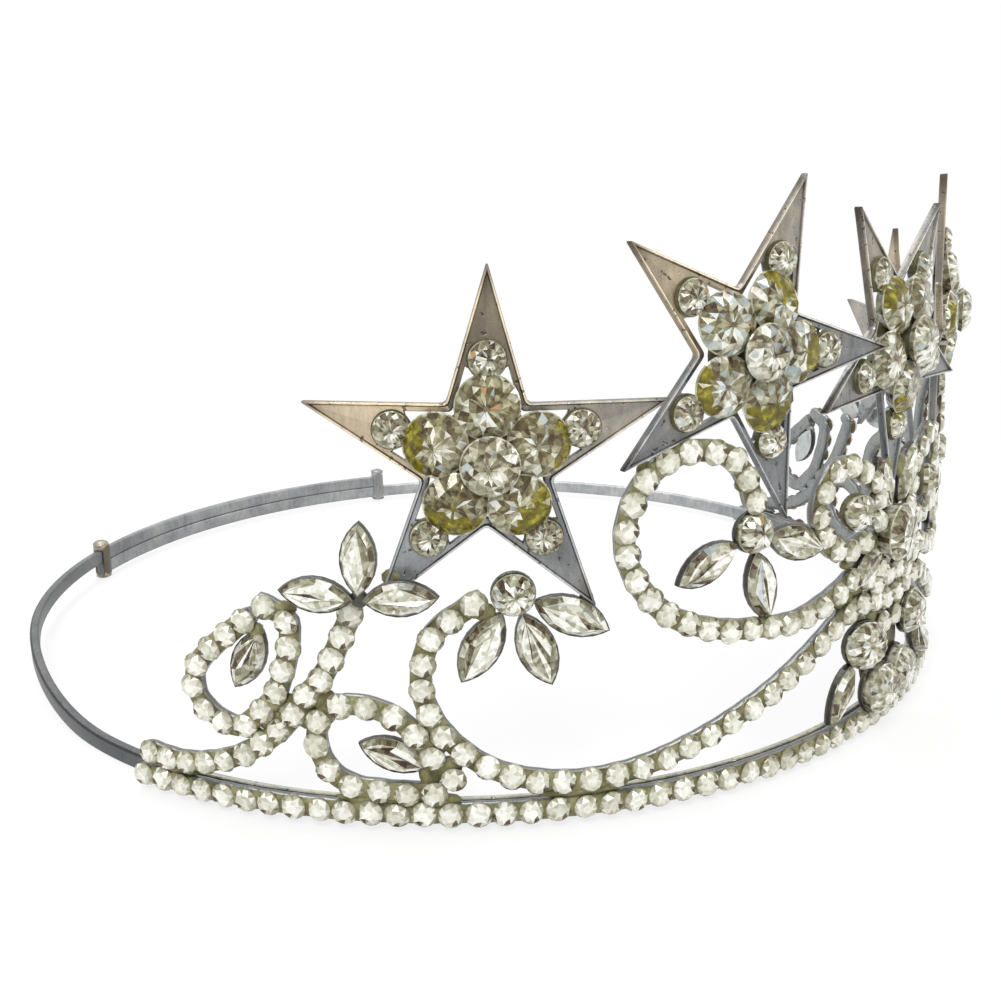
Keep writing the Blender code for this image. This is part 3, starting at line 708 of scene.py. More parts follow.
# %% [markdown]
# ## Scroll castings
# A scroll is a shallow channel of metal, filled with cement. A curve object with a bevel would
# give the channel, but its section could not carry its own tones and it would not bend with the
# wall. So the section is carried along the line by hand. The channel is narrower than the stones
# and draws in a little between them, so the stones scallop its edge.

# %% Channels
CHANNEL = [(-1.0, -0.7), (-1.40, -0.52), (-1.54, -0.2), (-1.58, 0.35), (-1.48, 0.55), (-1.34, 0.45),
           (1.34, 0.45), (1.48, 0.55), (1.58, 0.35), (1.54, -0.2), (1.40, -0.52), (1.0, -0.7)]
# tones round the channel's section: a painted highlight on each rim top, painted shade on the walls
CHANNEL_HIGHLIGHT_AND_SHADE = [0.44, 0.36, 0.30, 0.55, 0.34, 0.3, 0.34, 0.55, 0.30, 0.36, 0.44, 0.5]
FILL = [(-1.52, 0.1), (-1.46, 0.60), (-0.95, 0.96), (0.0, 1.04), (0.95, 0.96), (1.46, 0.60), (1.52, 0.1)]
FILL_TOP = 0.4
PER_STONE, END_STATIONS = 4, 2
END_WIDTH, NEXT_WIDTH = 0.72, 0.93


def carry(bm, section, stations, tones=None, finish=0, waist=0.0, ripple=None):
    """Carry a section of (across, out) points along stations of the wall. waist is how much it
    draws in between stones, and ripple() lifts its top unevenly."""
    loops = []
    last = len(stations) - 1
    for number, (spot, heading) in enumerate(stations):
        across = Vector((-heading.y, heading.x))
        phase = (number - END_STATIONS) / PER_STONE
        width = 1.0 - waist * (0.5 - 0.5 * math.cos(2.0 * math.pi * phase))
        width *= END_WIDTH if number in (0, last) else NEXT_WIDTH if number in (1, last - 1) else 1.0
        lift = ripple() if ripple else 0.0
        loop = []
        for offset, out in section:
            point = spot + across * offset * width
            loop.append(on_wall(point.x, point.y, out + (lift if out > FILL_TOP else 0.0)))
        loops.append(loop)
    paint = (lambda row, step: (tones[step], 0.3)) if tones else None
    skin(bm, loops, paint, finish=finish)


print("a channel's section has", len(CHANNEL), "corners")

# %% [markdown]
# ## Seats
# A round stone outside the rows stands on a low seat or in a cup. Both are a wall that follows
# an outline, given by a profile of (inset, height), so one function makes them all. Their
# undersides are plain metal like the castings' backs, because that is what shows from behind.

# %% Seats
def circle(radius, count=24):
    """An outline: a function that gives the circle's points for an inset."""
    angles = [2.0 * math.pi * step / count for step in range(count)]
    return lambda inset: [((radius - inset) * math.cos(a), (radius - inset) * math.sin(a))
                          for a in angles]


def stand(bm, place, outline, profile, paint):
    loops = [[place @ Vector((x, y, height)) for x, y in outline(inset)] for inset, height in profile]
    skin(bm, loops, paint)


def backed(tone, warmth, front, back):
    """Paint for a wall that has one finish, and another one underneath."""
    return lambda row, step: (tone, warmth, back if row == 0 else front)


print("a round seat has", len(circle(1.0)(0.0)), "corners")

# %% [markdown]
# ## Rows of stones
# Each channel holds a row of small stones, pressed into the cement until they nearly touch. An
# array modifier would space them evenly, but real rows never are: each stone is moved, turned
# and tipped a little. A few loose stones fill the places where two scrolls meet, and each eye
# loop holds one round stone, which leans outwards.

# %% Row stones
PITCH = 3.62
CEMENT, GLUE, BACK = 1, 2, 3
ROW_FINISHES = [row_crystal, cement, dark_glue, channel_metal]
CENTRE_HALF, CENTRE_DIM, ROW_DIM = 30.0, 0.10, 0.05
DARK_REFLECTION_FROM, DARK_REFLECTION_TURN, DARK_REFLECTION_RATE = -95.0, -120.0, 2.0
DARK_REFLECTION_LEAST, DARK_REFLECTION_MOST = -150.0, 20.0
NUDGE, TIP = 0.12, 6.0
OVERRUN, FILL_SHARE = 0.84, 0.92
WAIST, FILL_WAIST = 0.06, 0.05
RIPPLE = (-0.14, 0.08)


def dark_way_at(s):
    """Which way the painted dark reflection lies on a stone: it slides round with the wall."""
    degrees = DARK_REFLECTION_TURN + DARK_REFLECTION_RATE * (s - DARK_REFLECTION_FROM)
    return math.radians(min(max(degrees, DARK_REFLECTION_LEAST), DARK_REFLECTION_MOST))


def row_stone(bm, spot, rng):
    place = board(spot.x + rng.uniform(-NUDGE, NUDGE), spot.y + rng.uniform(-NUDGE, NUDGE))
    tip = turned(rng.uniform(-TIP, TIP), "X") @ turned(rng.uniform(-TIP, TIP), "Y")
    spin = rng.uniform(0.0, EIGHTH)
    place = place @ tip @ Matrix.Rotation(spin, 4, "Z")
    dark_way = dark_way_at(spot.x) + rng.uniform(-0.6, 0.6) - spin
    dim = CENTRE_DIM if abs(spot.x) < CENTRE_HALF else ROW_DIM
    small_stone(bm, place, STONE_R * rng.uniform(0.95, 1.02), *STONE_HEIGHTS, rng, dark_way, dim)


def stone_row(name, line, solid):
    """One scroll: its channel, and the row of stones with its cement."""
    rng = random.Random(name)
    count = max(2, round(length_of(line) / PITCH) + 1)
    stations = PER_STONE * (count - 1) + 1 + 2 * END_STATIONS
    overrun = END_STATIONS / PER_STONE * length_of(line) / (count - 1) * OVERRUN
    bm = new_blank()
    carry(bm, CHANNEL, walk(line, stations, overrun), CHANNEL_HIGHLIGHT_AND_SHADE, waist=WAIST)
    make_piece(name + "_channel", bm, [channel_metal], [solid], smooth=50)
    bm = new_blank()
    carry(bm, FILL, walk(line, stations, overrun * FILL_SHARE), None, CEMENT, FILL_WAIST,
          lambda: rng.uniform(*RIPPLE))
    for spot, heading in walk(line, count):
        row_stone(bm, spot, rng)
    return bm, count


print("stones on the base rail:", round((BASE_ENDS[1][0] - BASE_ENDS[0][0]) / PITCH) + 1)

# %% Rows on both sides
MORE_STONES = {"curl": [(-75.6, 7.6)], "eye": [(-6.0, 38.0), (-5.6, 34.6)],
               "great": [(-8.4, 26.2), (-5.0, 27.0), (-5.4, 24.4), (-1.8, 25.2), (-2.2, 17.6)]}
EYE_S, EYE_Z, EYE_OUT, EYE_LEAN = -11.9, 37.3, 0.4, 18.0
EYE_CUT = (2.65, 0.2, 1.3, 2.3)
EYE_SEAT_R = 2.7
EYE_SEAT = [(0.3, -0.7), (0.0, -0.4), (0.0, 0.2), (0.3, 0.5)]


def eye_stone(bm, side, rng):
    seat = board(EYE_S * side, EYE_Z, EYE_OUT) @ turned(-EYE_LEAN * side, "Y")
    stand(bm, seat, circle(EYE_SEAT_R), EYE_SEAT, backed(0.45, 0.3, GLUE, BACK))
    brilliant(bm, seat, *EYE_CUT, rng, 0.56)


total = 0
for label, side in SIDES.items():
    for scroll, points in SCROLLS.items():
        name = label + "_" + scroll
        row, count = stone_row(name, smooth_line(points, side), name + "_scroll")
        rng = random.Random(name + "_more")
        for s, z in MORE_STONES.get(scroll, ()):
            row_stone(row, Vector((s * side, z)), rng)
        if scroll == "eye":
            eye_stone(row, side, rng)
        make_piece(name + "_row", row, ROW_FINISHES, [name + "_stones"])
        total += count
row, count = stone_row("base", smooth_line(BASE_ENDS), "base_rail")
make_piece("base_row", row, [row_crystal, cement], ["base_stones"])
print("small stones in rows:", total + count)

# %% [markdown]
# ## Cups
# The pointed stones stand in cups of blackened metal. A cup is a thin wall that follows the
# stone's outline and turns in over its edge, so from the front it shows as a dark line. It could
# be a solidified sheet, but a wall of its own lets each step of it have its own tone, with a
# painted highlight on the top of its lip.

# %% Cups
NAVETTE_L, NAVETTE_W = 10.0, 4.9
NAVETTE_HEIGHTS = (0.5, 1.36, 2.6)
CUP_WALL = [(0.7, 0.0), (0.15, 0.25), (0.0, 0.6), (0.0, 1.22), (0.05, 1.36), (0.14, 1.38), (0.22, 1.15)]
# tones of the cup's steps: a painted highlight on the top of the lip
CUP_HIGHLIGHT_AND_SHADE = [1.0, 0.7, 0.5, 0.9, 1.4, 0.6]
CUP = 1
SET_FINISHES = [crystal, cup_metal, dark_glue, channel_metal]
CUP_SHARES = (-1.0, -0.88, -0.68, -0.42, -0.14, 0.14, 0.42, 0.68, 0.88)
LIP_ENDS, LIP_SIDES, LIP_ROUND = 0.36, 0.26, 0.10
ROUND_FOOT, ROUND_GIRDLE, ROUND_TABLE = 0.5, 1.42, 2.75
ROUND_CUP, ROUND_TONE = 0.75, 0.52


def cup(bm, place, outline, tall=1.0):
    """outline(inset) gives the loop of a cup's wall on the board."""
    profile = [(inset, height * tall) for inset, height in CUP_WALL]
    stand(bm, place, outline, profile, lambda row, step: (CUP_HIGHLIGHT_AND_SHADE[row], 0.3, CUP if row else BACK))


def set_navette(bm, place, rng, light_side=1.0, size=1.0):
    length, width = NAVETTE_L * size, NAVETTE_W * size
    cup(bm, place, lambda inset: pointed_oval(length, width, inset, CUP_SHARES))
    navette(bm, place, length - LIP_ENDS, width - LIP_SIDES, *NAVETTE_HEIGHTS, rng, light_side)


def set_round(bm, place, radius, rng, lift=0.0):
    """A round stone in a low cup; lift makes the stone taller."""
    cup(bm, place, circle(radius), ROUND_CUP)
    brilliant(bm, place, radius - LIP_ROUND, ROUND_FOOT, ROUND_GIRDLE + lift, ROUND_TABLE + lift, rng,
              ROUND_TONE)


print("a cup's wall has", len(CUP_HIGHLIGHT_AND_SHADE), "steps")

# %% [markdown]
# ## Sprays and flowers
# Cups are soldered to a small hub in sprays of three or four, mostly round a round stone. Each
# kind is one row of numbers: its place, the radius and the lift of its round stone, the distance
# at which the pointed stones start, their directions, how far out its back lies and how large
# the pointed stones are. The leaf and curl loops hold one pointed stone each.

# %% Sprays and flowers
SPRAYS = {
    "spray": (-86.6, 33.8, 0.0, 0.0, 0.5, (173.0, 87.0, 4.0), 2.0, 1.0),
    "low_flower": (-67.2, 33.3, 3.0, 0.3, 2.8, (-121.0, -69.0, -24.0), CAST_BACK, 1.10),
    "high_flower": (-33.0, 38.0, 3.0, 0.5, 2.8, (204.0, -77.0, -19.0), CAST_BACK, 1.08),
}
HEART_FLOWER = (0.0, 31.7, 4.6, 1.6, 4.35, (117.0, 63.0, -156.0, -24.0), CAST_BACK, 1.0)
SINGLES = {"leaf_navette": (-103.45, 23.4, 62.0), "curl_navette": (-83.6, 10.9, -19.0)}
HUB = [(0.3, 0.06), (0.0, 0.15), (0.0, 0.45), (0.4, 0.7)]
BARE_HUB_R = 1.2


def mirrored(direction, side):
    return direction if side > 0 else 180.0 - direction


def hub(bm, place, radius, finish=CUP):
    stand(bm, place, circle(radius), HUB, backed(0.7, 0.3, finish, BACK))


def make_spray(name, design, side=1.0):
    s, z, round_r, lift, reach, directions, back, size = design
    rng = random.Random(name)
    place = board(s * side, z, back)
    bm = new_blank()
    hub(bm, place, round_r - 0.3 if round_r else BARE_HUB_R)
    for direction in directions:
        heading = mirrored(direction, side)
        light_side = 1.0 if math.cos(math.radians(heading)) < 0.3 else -1.0
        at = place @ turned(heading) @ moved(reach + NAVETTE_L * size / 2.0)
        set_navette(bm, at, rng, light_side, size)
    if round_r:
        set_round(bm, place, round_r, rng, lift)
    make_piece(name + "_set", bm, SET_FINISHES, [name])


for label, side in SIDES.items():
    for kind, design in SPRAYS.items():
        make_spray(label + "_" + kind, design, side)
    for kind, (s, z, direction) in SINGLES.items():
        name = label + "_" + kind
        bm = new_blank()
        place = board(s * side, z, CAST_BACK, mirrored(direction, side))
        set_navette(bm, place, random.Random(label + kind))
        make_piece(name + "_set", bm, SET_FINISHES, [name])
make_spray("heart_flower", HEART_FLOWER)
print("on each side:", list(SPRAYS) + list(SINGLES))

# %% [markdown]
# ## The trefoil
# Low at the centre front stand four large round stones with a pointed one on either side, on a
# plate of their own. They were set by hand, so mirrored copies would look too neat: each round
# stone has its own lean on either side, and the upper left one leans far over.

# %% Trefoil
TREFOIL_PLACE, TREFOIL_PLATE_R = (0.0, 12.2), 6.6
TREFOIL_ROUNDS = [(-9.0, 3.9, 3.9, 0.3, (26.0, -2.0)), (-4.25, -4.6, 4.15, 1.0, (6.0, -4.0))]
TREFOIL_RAISE = (1.2, 0.5)
TREFOIL_NAVETTE = (-11.6, 1.2, 229.0)

bm = new_blank()
place = board(*TREFOIL_PLACE, CAST_BACK)
rng = random.Random("trefoil")
hub(bm, place, TREFOIL_PLATE_R, GLUE)
for number, side in enumerate(SIDES.values()):
    for x, y, radius, lift, leans in TREFOIL_ROUNDS:
        seat = place @ moved(x * side, y, TREFOIL_RAISE[number]) @ turned(-leans[number], "Y")
        set_round(bm, seat, radius, rng, lift)
    x, y, direction = TREFOIL_NAVETTE
    shift = moved(x * side, y) @ turned(mirrored(direction, side))
    set_navette(bm, place @ shift @ moved(NAVETTE_L / 2.0), rng)
make_piece("trefoil_set", bm, SET_FINISHES, ["trefoil"])
print("trefoil stones:", 2 * len(TREFOIL_ROUNDS) + 2)

# %% [markdown]
# ## Solder and cement joints
# The separate castings were soldered where they touch, and cement ran into the corners. Each
# joint is a flattened ball with an uneven skin, pressed into the gap between two castings. Its
# front is cement and its back is solder. Metaballs would flow together better, but they would
# also creep over the stones. Each row gives a joint's place and its half width and height.

# %% Joints
JOINTS = [(-95.8, 16.0, 2.2, 2.0), (-92.8, 18.4, 2.2, 1.8), (-100.4, 14.6, 2.4, 1.8),
          (-103.6, 12.5, 1.8, 1.0), (-97.7, 17.0, 2.2, 2.0), (-76.2, 8.6, 1.8, 2.2),
          (-77.6, 12.6, 1.6, 1.8), (-78.8, 8.0, 1.6, 1.8), (-86.5, 4.2, 5.5, 0.9),
          (-58.0, 4.5, 6.5, 0.8), (-117.5, 4.4, 4.5, 0.8), (-77.0, 4.3, 2.5, 0.9),
          (-89.0, 32.4, 2.0, 1.3), (-82.6, 35.9, 1.5, 1.3), (-97.5, 31.2, 1.8, 1.0),
          (-102.0, 27.6, 1.2, 1.2), (-71.0, 31.0, 1.6, 1.3), (-57.6, 32.2, 1.0, 0.9),
          (-49.6, 48.6, 1.3, 1.1), (-35.0, 45.0, 1.2, 1.2), (-13.6, 23.9, 2.6, 1.3),
          (-9.6, 26.0, 2.4, 2.6), (-6.6, 30.2, 2.2, 2.6), (-6.4, 36.6, 1.9, 3.0),
          (-5.2, 19.2, 2.2, 1.5), (-3.4, 24.6, 3.0, 2.2), (-8.6, 19.6, 1.6, 1.0),
          (-13.0, 29.5, 1.6, 1.0), (-2.6, 41.5, 1.4, 2.2)]
JOINT_DEEP, SOLDER = 0.75, 1


def blob(bm, place, wide, tall, deep, rng, behind=0):
    """An uneven ball on a board; behind is the finish of its back."""
    ball = bmesh.ops.create_icosphere(bm, subdivisions=2, radius=1.0)
    for face in {face for vert in ball["verts"] for face in vert.link_faces}:
        face[bm.faces.layers.float["tone"]] = PLAIN
        face.material_index = behind if face.calc_center_median().z < -0.1 else 0
    for vert in ball["verts"]:
        grown = vert.co * rng.uniform(0.9, 1.08)
        vert.co = place @ Vector((grown.x * wide, grown.y * tall, grown.z * deep))


for label, side in SIDES.items():
    rng = random.Random(label + "_joints")
    bm = new_blank()
    for s, z, wide, tall in JOINTS:
        blob(bm, board(s * side, z), wide, tall, JOINT_DEEP, rng, SOLDER)
    make_piece(label + "_cement_joints", bm, [cement, channel_metal], smooth=60)
print("joints on each side:", len(JOINTS))

# %% [markdown]
# ## Star castings
# A star is a flat casting with a thin raised rim round its edge and an open middle. Its outline
# and every line parallel to it can be written as a distance from the middle at each angle, so
# the whole casting is one profile of (inset, height) carried round the star. Cutting the middle
# out of a plate would leave ragged faces. Small see-through gaps are left beside the stone in
# the root of each point.

# %% A star's outline
STAR_TIP, STAR_NOTCH = 24.4, 8.7
TIP_BLUNT, NOTCH_FILL = 0.32, 0.26
STEP_ANGLES = (0.0, 0.35, 0.8, 1.5, 2.6, 4.2, 6.5, 9.0, 11.0, 13.0, 16.0, 20.0, 26.0, 31.0, 34.4)
PER_POINT = 2 * len(STEP_ANGLES)
POINT_RING = 12.5
POINT_HOLE, RIM_WIDTH = 2.45, 0.95

tenth = math.radians(36.0)
half_tip = math.atan2(STAR_NOTCH * math.sin(tenth), STAR_TIP - STAR_NOTCH * math.cos(tenth))
half_notch = half_tip + tenth


def edge_of_star(degrees, inset):
    """How far the star's edge is from its middle, at an angle from a point."""
    tip = STAR_TIP - inset / math.sin(half_tip)
    notch = STAR_NOTCH - inset / math.sin(half_notch)
    a = math.radians(degrees)
    reach = tip * notch * math.sin(tenth) / (tip * math.sin(a) + notch * math.sin(tenth - a))
    if inset < 0.1:
        reach = min(reach, tip - TIP_BLUNT)
    return max(reach, notch + NOTCH_FILL)


def window_of_star(degrees, inset):
    """The open middle: it keeps clear of the rim and of the stone in each point."""
    reach = edge_of_star(degrees, RIM_WIDTH)
    a = math.radians(degrees)
    beside = POINT_HOLE ** 2 - (POINT_RING * math.sin(a)) ** 2
    if beside > 0.0:
        reach = min(reach, POINT_RING * math.cos(a) - math.sqrt(beside))
    return reach - inset


def star_loop(reach, inset, height):
    """All round the star: (x, y, height) with its first point up."""
    loop = []
    for point in range(5):
        up = [(72.0 * point + a, a) for a in STEP_ANGLES]
        down = [(72.0 * (point + 1) - a, a) for a in reversed(STEP_ANGLES[1:])]
        for degrees, a in up + [(72.0 * point + 36.0, 36.0)] + down:
            turn = math.radians(90.0 + degrees)
            far = reach(a, inset)
            loop.append(Vector((far * math.cos(turn), far * math.sin(turn), height)))
    return loop


print("a star's outline has", 5 * PER_POINT, "points")

# %% [markdown]
# ## Colouring the castings
# On the real crown the points of a star are not alike: some went brown and others kept their
# grey. So every point has a warmth and a light of its own, listed from the first point round,
# and the faces of the flat field take them. One half of each point is also painted a little
# lighter than the other, a painted light and shade as on an arm lit from one side.

# %% Star castings
STAR_PROFILE = [(edge_of_star, 0.14, 0.0), (edge_of_star, 0.0, 0.14), (edge_of_star, 0.0, 0.96),
                (edge_of_star, 0.10, 1.16), (edge_of_star, 0.27, 1.18), (edge_of_star, 0.36, 1.08),
                (edge_of_star, 0.46, 0.90), (window_of_star, 0.0, 0.88), (window_of_star, 0.22, 0.7),
                (window_of_star, 0.22, 0.1)]
# tones of the profile's rings: a painted highlight on the rim top, painted shade on the outer wall, the
# inner step and the window's walls
STAR_HIGHLIGHT_AND_SHADE = [0.40, 0.30, 0.5, 0.95, 0.5, 0.22, 0.5, 0.3, 0.25, 0.5]
FIELD_ROW = 6
# one half of each point painted lighter, the other darker: painted light and shade
HALF_PAINTED_LIGHT = (0.94, 1.08)
POINT_WARMTH = {"outer": (0.75, 1.0, 0.0, 0.12, 0.45), "inner": (0.5, 0.85, 0.15, 0.0, 0.2),
                "centre": (0.3, 0.5, 0.3, 0.0, 0.2)}
POINT_LIGHT = {"outer": (0.42, 1.18, 1.10, 0.76, 0.85), "inner": (0.82, 0.8, 0.65, 0.75, 0.75),
               "centre": (0.75, 0.7, 0.75, 0.75, 0.7)}


def star_casting(name, place, warmth, light):
    loops = [[place @ point for point in star_loop(*ring)] for ring in STAR_PROFILE]

    def paint(row, step):
        point = ((step + PER_POINT // 2) // PER_POINT) % 5
        half = HALF_PAINTED_LIGHT[(step // (PER_POINT // 2)) % 2]
        return STAR_HIGHLIGHT_AND_SHADE[row] * (light[point] * half if row == FIELD_ROW else 1.0), warmth[point]

    bm = new_blank()
    skin(bm, loops, paint, closed=True)
    make_piece(name + "_star_casting", bm, [star_plate], [name + "_star_frame"],
               smooth=35, home=Matrix.Translation(place.translation))


print("rings in a star's profile:", len(STAR_PROFILE))

# %% [markdown]
# ## Setting the stars' stones
# Five petal stones on a disc of glue cover the open middle, one stone sits in the root of each
# point, and a larger one stands on top. Foil came off several petals, mostly from their outer
# side, and left the yellow varnish in view. A cut is given as a radius and three heights.

# %% Star stones
PETAL_RING, PETAL_CUT = 6.4, (4.2, 1.0, 2.6, 3.75)
POINT_CUT, MIDDLE_CUT = (2.38, 0.9, 1.65, 2.4), (3.8, 3.8, 4.8, 6.0)
GLUE_DISC_R, POINT_SEAT_R = 7.0, 2.55
GLUE_DISC = [(0.5, 0.4), (0.0, 0.7), (0.0, 1.2), (0.5, 1.6), (4.6, 2.7), (4.9, 3.9)]
POINT_SEAT = [(0.2, 0.1), (0.0, 0.4), (0.0, 1.0), (0.15, 1.25), (0.5, 1.3)]
LIGHT_FROM = -95.0
PETAL_GLUE, PETAL_BACK = 1, 2


def star_stones(name, place, turn, glass, loss):
    rng = random.Random(name)
    tone, sky, tint = glass
    metal_back = backed(PLAIN, 0.4, PETAL_GLUE, PETAL_BACK)
    bright_way = math.radians(LIGHT_FROM - turn)
    bm = new_blank()
    stand(bm, place, circle(GLUE_DISC_R, 40), GLUE_DISC, metal_back)
    for point in range(5):
        direction = 90.0 + 72.0 * point
        arm = place @ turned(direction)
        petal = arm @ moved(PETAL_RING, 0.0, rng.uniform(-0.15, 0.15))
        petal = petal @ turned(rng.uniform(8.0, 12.0), "Y")
        bright = bright_way + rng.uniform(-0.6, 0.6) - math.radians(direction)
        brilliant(bm, petal, *PETAL_CUT, rng, tone, bright, rng.uniform(-0.5, 0.5),
                  loss.get(point, 0.0), foot_share=0.8, sky=sky, tint=tint)
        seat = arm @ moved(POINT_RING)
        stand(bm, seat, circle(POINT_SEAT_R), POINT_SEAT, metal_back)
        brilliant(bm, seat, *POINT_CUT, rng, tone + 0.06, bright, math.pi,
                  0.6 if rng.random() < 0.3 else 0.0)
    make_piece(name + "_star_petals", bm, [crystal, dark_glue, channel_metal],
               [name + "_star_rosette"])

    bm = new_blank()
    middle = place @ moved(rng.uniform(-0.5, 0.5), rng.uniform(-0.3, 0.3))
    brilliant(bm, middle, *MIDDLE_CUT, rng, tone + 0.1, bright_way, foot_share=0.86, sky=sky,
              tint=tint * 0.6)
    make_piece(name + "_star_middle", bm, [crystal], [name + "_star_heart"])


print("a petal stone is", 2 * PETAL_CUT[0], "mm across")

# %% [markdown]
# ## The five stars
# The stars stand on the scrolls by their lower points and lean a little inwards at the top, so
# each one is tipped about a foot below its middle and then turned in its own plane. The glass of
# each kind has its middle tone, the share of facets that mirror the sky and how yellow it went.
# The petals that lost their foil are listed by number, counted from the first point, with how
# far the loss reaches in.

# %% Stars
STARS = [("outer", -70.2, 51.1, 1.5), ("inner", -33.6, 62.3, 20.5), ("centre", -0.4, 60.9, 36.0)]
STAR_FOOT, STAR_LEAN = 20.0, 1.5
STONE_LIGHT = {"outer": (0.36, 0.04, 0.30), "inner": (0.42, 0.18, 0.26), "centre": (0.42, 0.1, 0.26)}
FOIL_LOSS = {
    "left_outer": {1: 0.55, 2: 0.76, 3: 0.86, 4: 0.40},
    "left_inner": {0: 0.80, 2: 0.50, 3: 0.95, 4: 1.0},
    "centre": {0: 0.4, 1: 0.7, 3: 0.5},
    "right_inner": {1: 0.5, 2: 0.7, 4: 0.4},
    "right_outer": {0: 0.4, 2: 0.6, 3: 0.5},
}

for kind, s, z, turn in STARS:
    for label, side in SIDES.items():
        name = "centre" if kind == "centre" else label + "_" + kind
        if kind == "centre" and label == "right":
            continue
        foot = board(s * side, z - STAR_FOOT, CAST_BACK) @ turned(-STAR_LEAN, "X")
        place = foot @ moved(0.0, STAR_FOOT) @ turned(-turn * side)
        star_casting(name, place, POINT_WARMTH[kind], POINT_LIGHT[kind])
        star_stones(name, place, -turn * side, STONE_LIGHT[kind], FOIL_LOSS[name])
print("stars:", list(FOIL_LOSS))

# %% [markdown]
# ## The hoop's band
# Behind the bottom row lies a flat band with drawn ridges. Its section is carried round the
# hoop's axis in small steps, which lets every ridge have its own tone: a painted highlight on
# its front and painted shade in the groove beside it. A spun section, as the Screw modifier
# makes it, would be as round but of one tone.

# %% Band
def round_hoop(radius, z, degrees):
    angle = math.radians(degrees)
    return Vector((radius * math.sin(angle), HOOP_AXIS_Y - radius * math.cos(angle), z)) * MM


def bent_bar(bm, section, start, end, step_deg, tones, shade=None, drop=None, warmth=0.3):
    """Carry a section of (radius, z) points round the hoop from start to end degrees. shade gives the
    painted light and shade at an angle, and drop how far the section is lowered there."""
    count = max(2, round(abs(end - start) / step_deg))
    stops = [start + (end - start) * step / count for step in range(count + 1)]
    dim = [shade(abs(stop)) if shade else 1.0 for stop in stops]
    low = [drop(abs(stop)) if drop else 0.0 for stop in stops]
    loops = [[round_hoop(radius, max(z - less, 0.05 if less else z), stop) for radius, z in section]
             for stop, less in zip(stops, low)]
    skin(bm, loops, lambda row, step: (tones[step] * dim[row], warmth))


BAND_SECTION = [(87.95, 0.0), (88.5, 0.0), (88.6, 0.2), (88.6, 1.7), (88.4, 1.85), (88.4, 2.0),
                (88.6, 2.1), (88.6, 2.45), (88.4, 2.55), (88.4, 2.7), (88.6, 2.8), (88.6, 3.1),
                (88.42, 3.2), (88.42, 3.3), (88.58, 3.4), (88.5, 3.6), (87.95, 3.6)]
# tones round the band's section: painted highlights on the ridges' fronts, painted shade in the grooves
BAND_HIGHLIGHT_AND_SHADE = [0.6, 0.6, 0.8, 0.5, 0.42, 0.7, 1.15, 0.5, 0.42, 0.7, 1.25, 0.5, 0.42, 0.7, 1.1, 0.95, 0.6]
BAND_END = 79.9

bm = new_blank()
bent_bar(bm, BAND_SECTION, -BAND_END, BAND_END, 2.0, BAND_HIGHLIGHT_AND_SHADE, warmth=0.7)
make_piece("front_band_ridged", bm, [channel_metal], ["front_band"], smooth=30)
print("the band's section has", len(BAND_SECTION), "corners")

# %% [markdown]
# ## Strips
# At the back two thin strips run over each other, so that the hoop can be made larger or smaller.
# Each rides on a body of its own. The left strip is set down at its front end, where it runs
# behind the band. The set-down ends before the place that the other strip's end reaches at the
# smallest size, so the two never cut into each other.

# %% Strips
# tones round the strip's section: its top face painted light and the corner above its outer face painted
# dark, a painted highlight and shade
STRIP_HIGHLIGHT_AND_SHADE = [0.3, 0.2, 0.3, 0.72, 0.62, 0.6, 0.55, 0.55, 0.5, 0.5, 0.4, 0.4, 0.4, 0.42, 0.42, 0.5]
STRIP_R, STRIP_CORNER = (85.95, 87.59), 0.35
STRIP_Z = {"left": (4.02, 6.9), "right": (1.0, 3.98)}
STRIP_START, STRIP_END = 64.0, 211.0
BESIDE_BAND, TO_THE_BACK = (72.0, 84.0), (130.0, 175.0)
# painted light and shade of the strips by angle: one level beside the band, one at the back, and one beside
# the crown, where the left strip is painted dark and the right one light
BAND_PAINTED_LIGHT, BACK_PAINTED_LIGHT = 0.62, 0.78
NEAR_PAINTED_LIGHT = {"left": 0.33, "right": 1.15}
SET_DOWN = {"left": 4.4, "right": 0.0}
SET_DOWN_SPAN = (88.0, 122.0)


def soft_bar(r_in, r_out, low, high, corner):
    """A rectangle with rounded corners."""
    section = []
    for r, z, first in ((r_out - corner, high - corner, 0), (r_in + corner, high - corner, 90),
                        (r_in + corner, low + corner, 180), (r_out - corner, low + corner, 270)):
        for step in range(4):
            angle = math.radians(first + 30.0 * step)
            section.append((r + corner * math.cos(angle), z + corner * math.sin(angle)))
    return section


def ramp_between(value, low, high, first, second):
    share = min(max((value - low) / (high - low), 0.0), 1.0)
    return first + (second - first) * share * share * (3.0 - 2.0 * share)


def make_strip(label, way):
    # painted light and shade along the strip, set by its angle round the hoop
    def shade(angle):
        near = ramp_between(angle, *BESIDE_BAND, BAND_PAINTED_LIGHT, NEAR_PAINTED_LIGHT[label])
        return ramp_between(angle, *TO_THE_BACK, near, BACK_PAINTED_LIGHT)

    def drop(angle):
        return ramp_between(angle, *SET_DOWN_SPAN, SET_DOWN[label], 0.0)

    bm = new_blank()
    section = soft_bar(*STRIP_R, *STRIP_Z[label], STRIP_CORNER)
    bent_bar(bm, section, way * STRIP_START, way * STRIP_END, 1.5, STRIP_HIGHLIGHT_AND_SHADE, shade, drop)
    make_piece(label + "_strip_bar", bm, [hoop_metal], [label + "_strip"],
               label + "_arm", 40)


print("strips lie at these heights:", STRIP_Z)

# %% [markdown]
# ## Collars
# A crimped collar at the end of each strip slides on the other strip. It is a short sleeve that
# swells in the middle and is pinched to a bead at its top and bottom. Its loops run over the
# outside and back through the opening, so the skin closes on itself and the opening stays free
# for the other strip. The right one has lost its plate and shows brass.

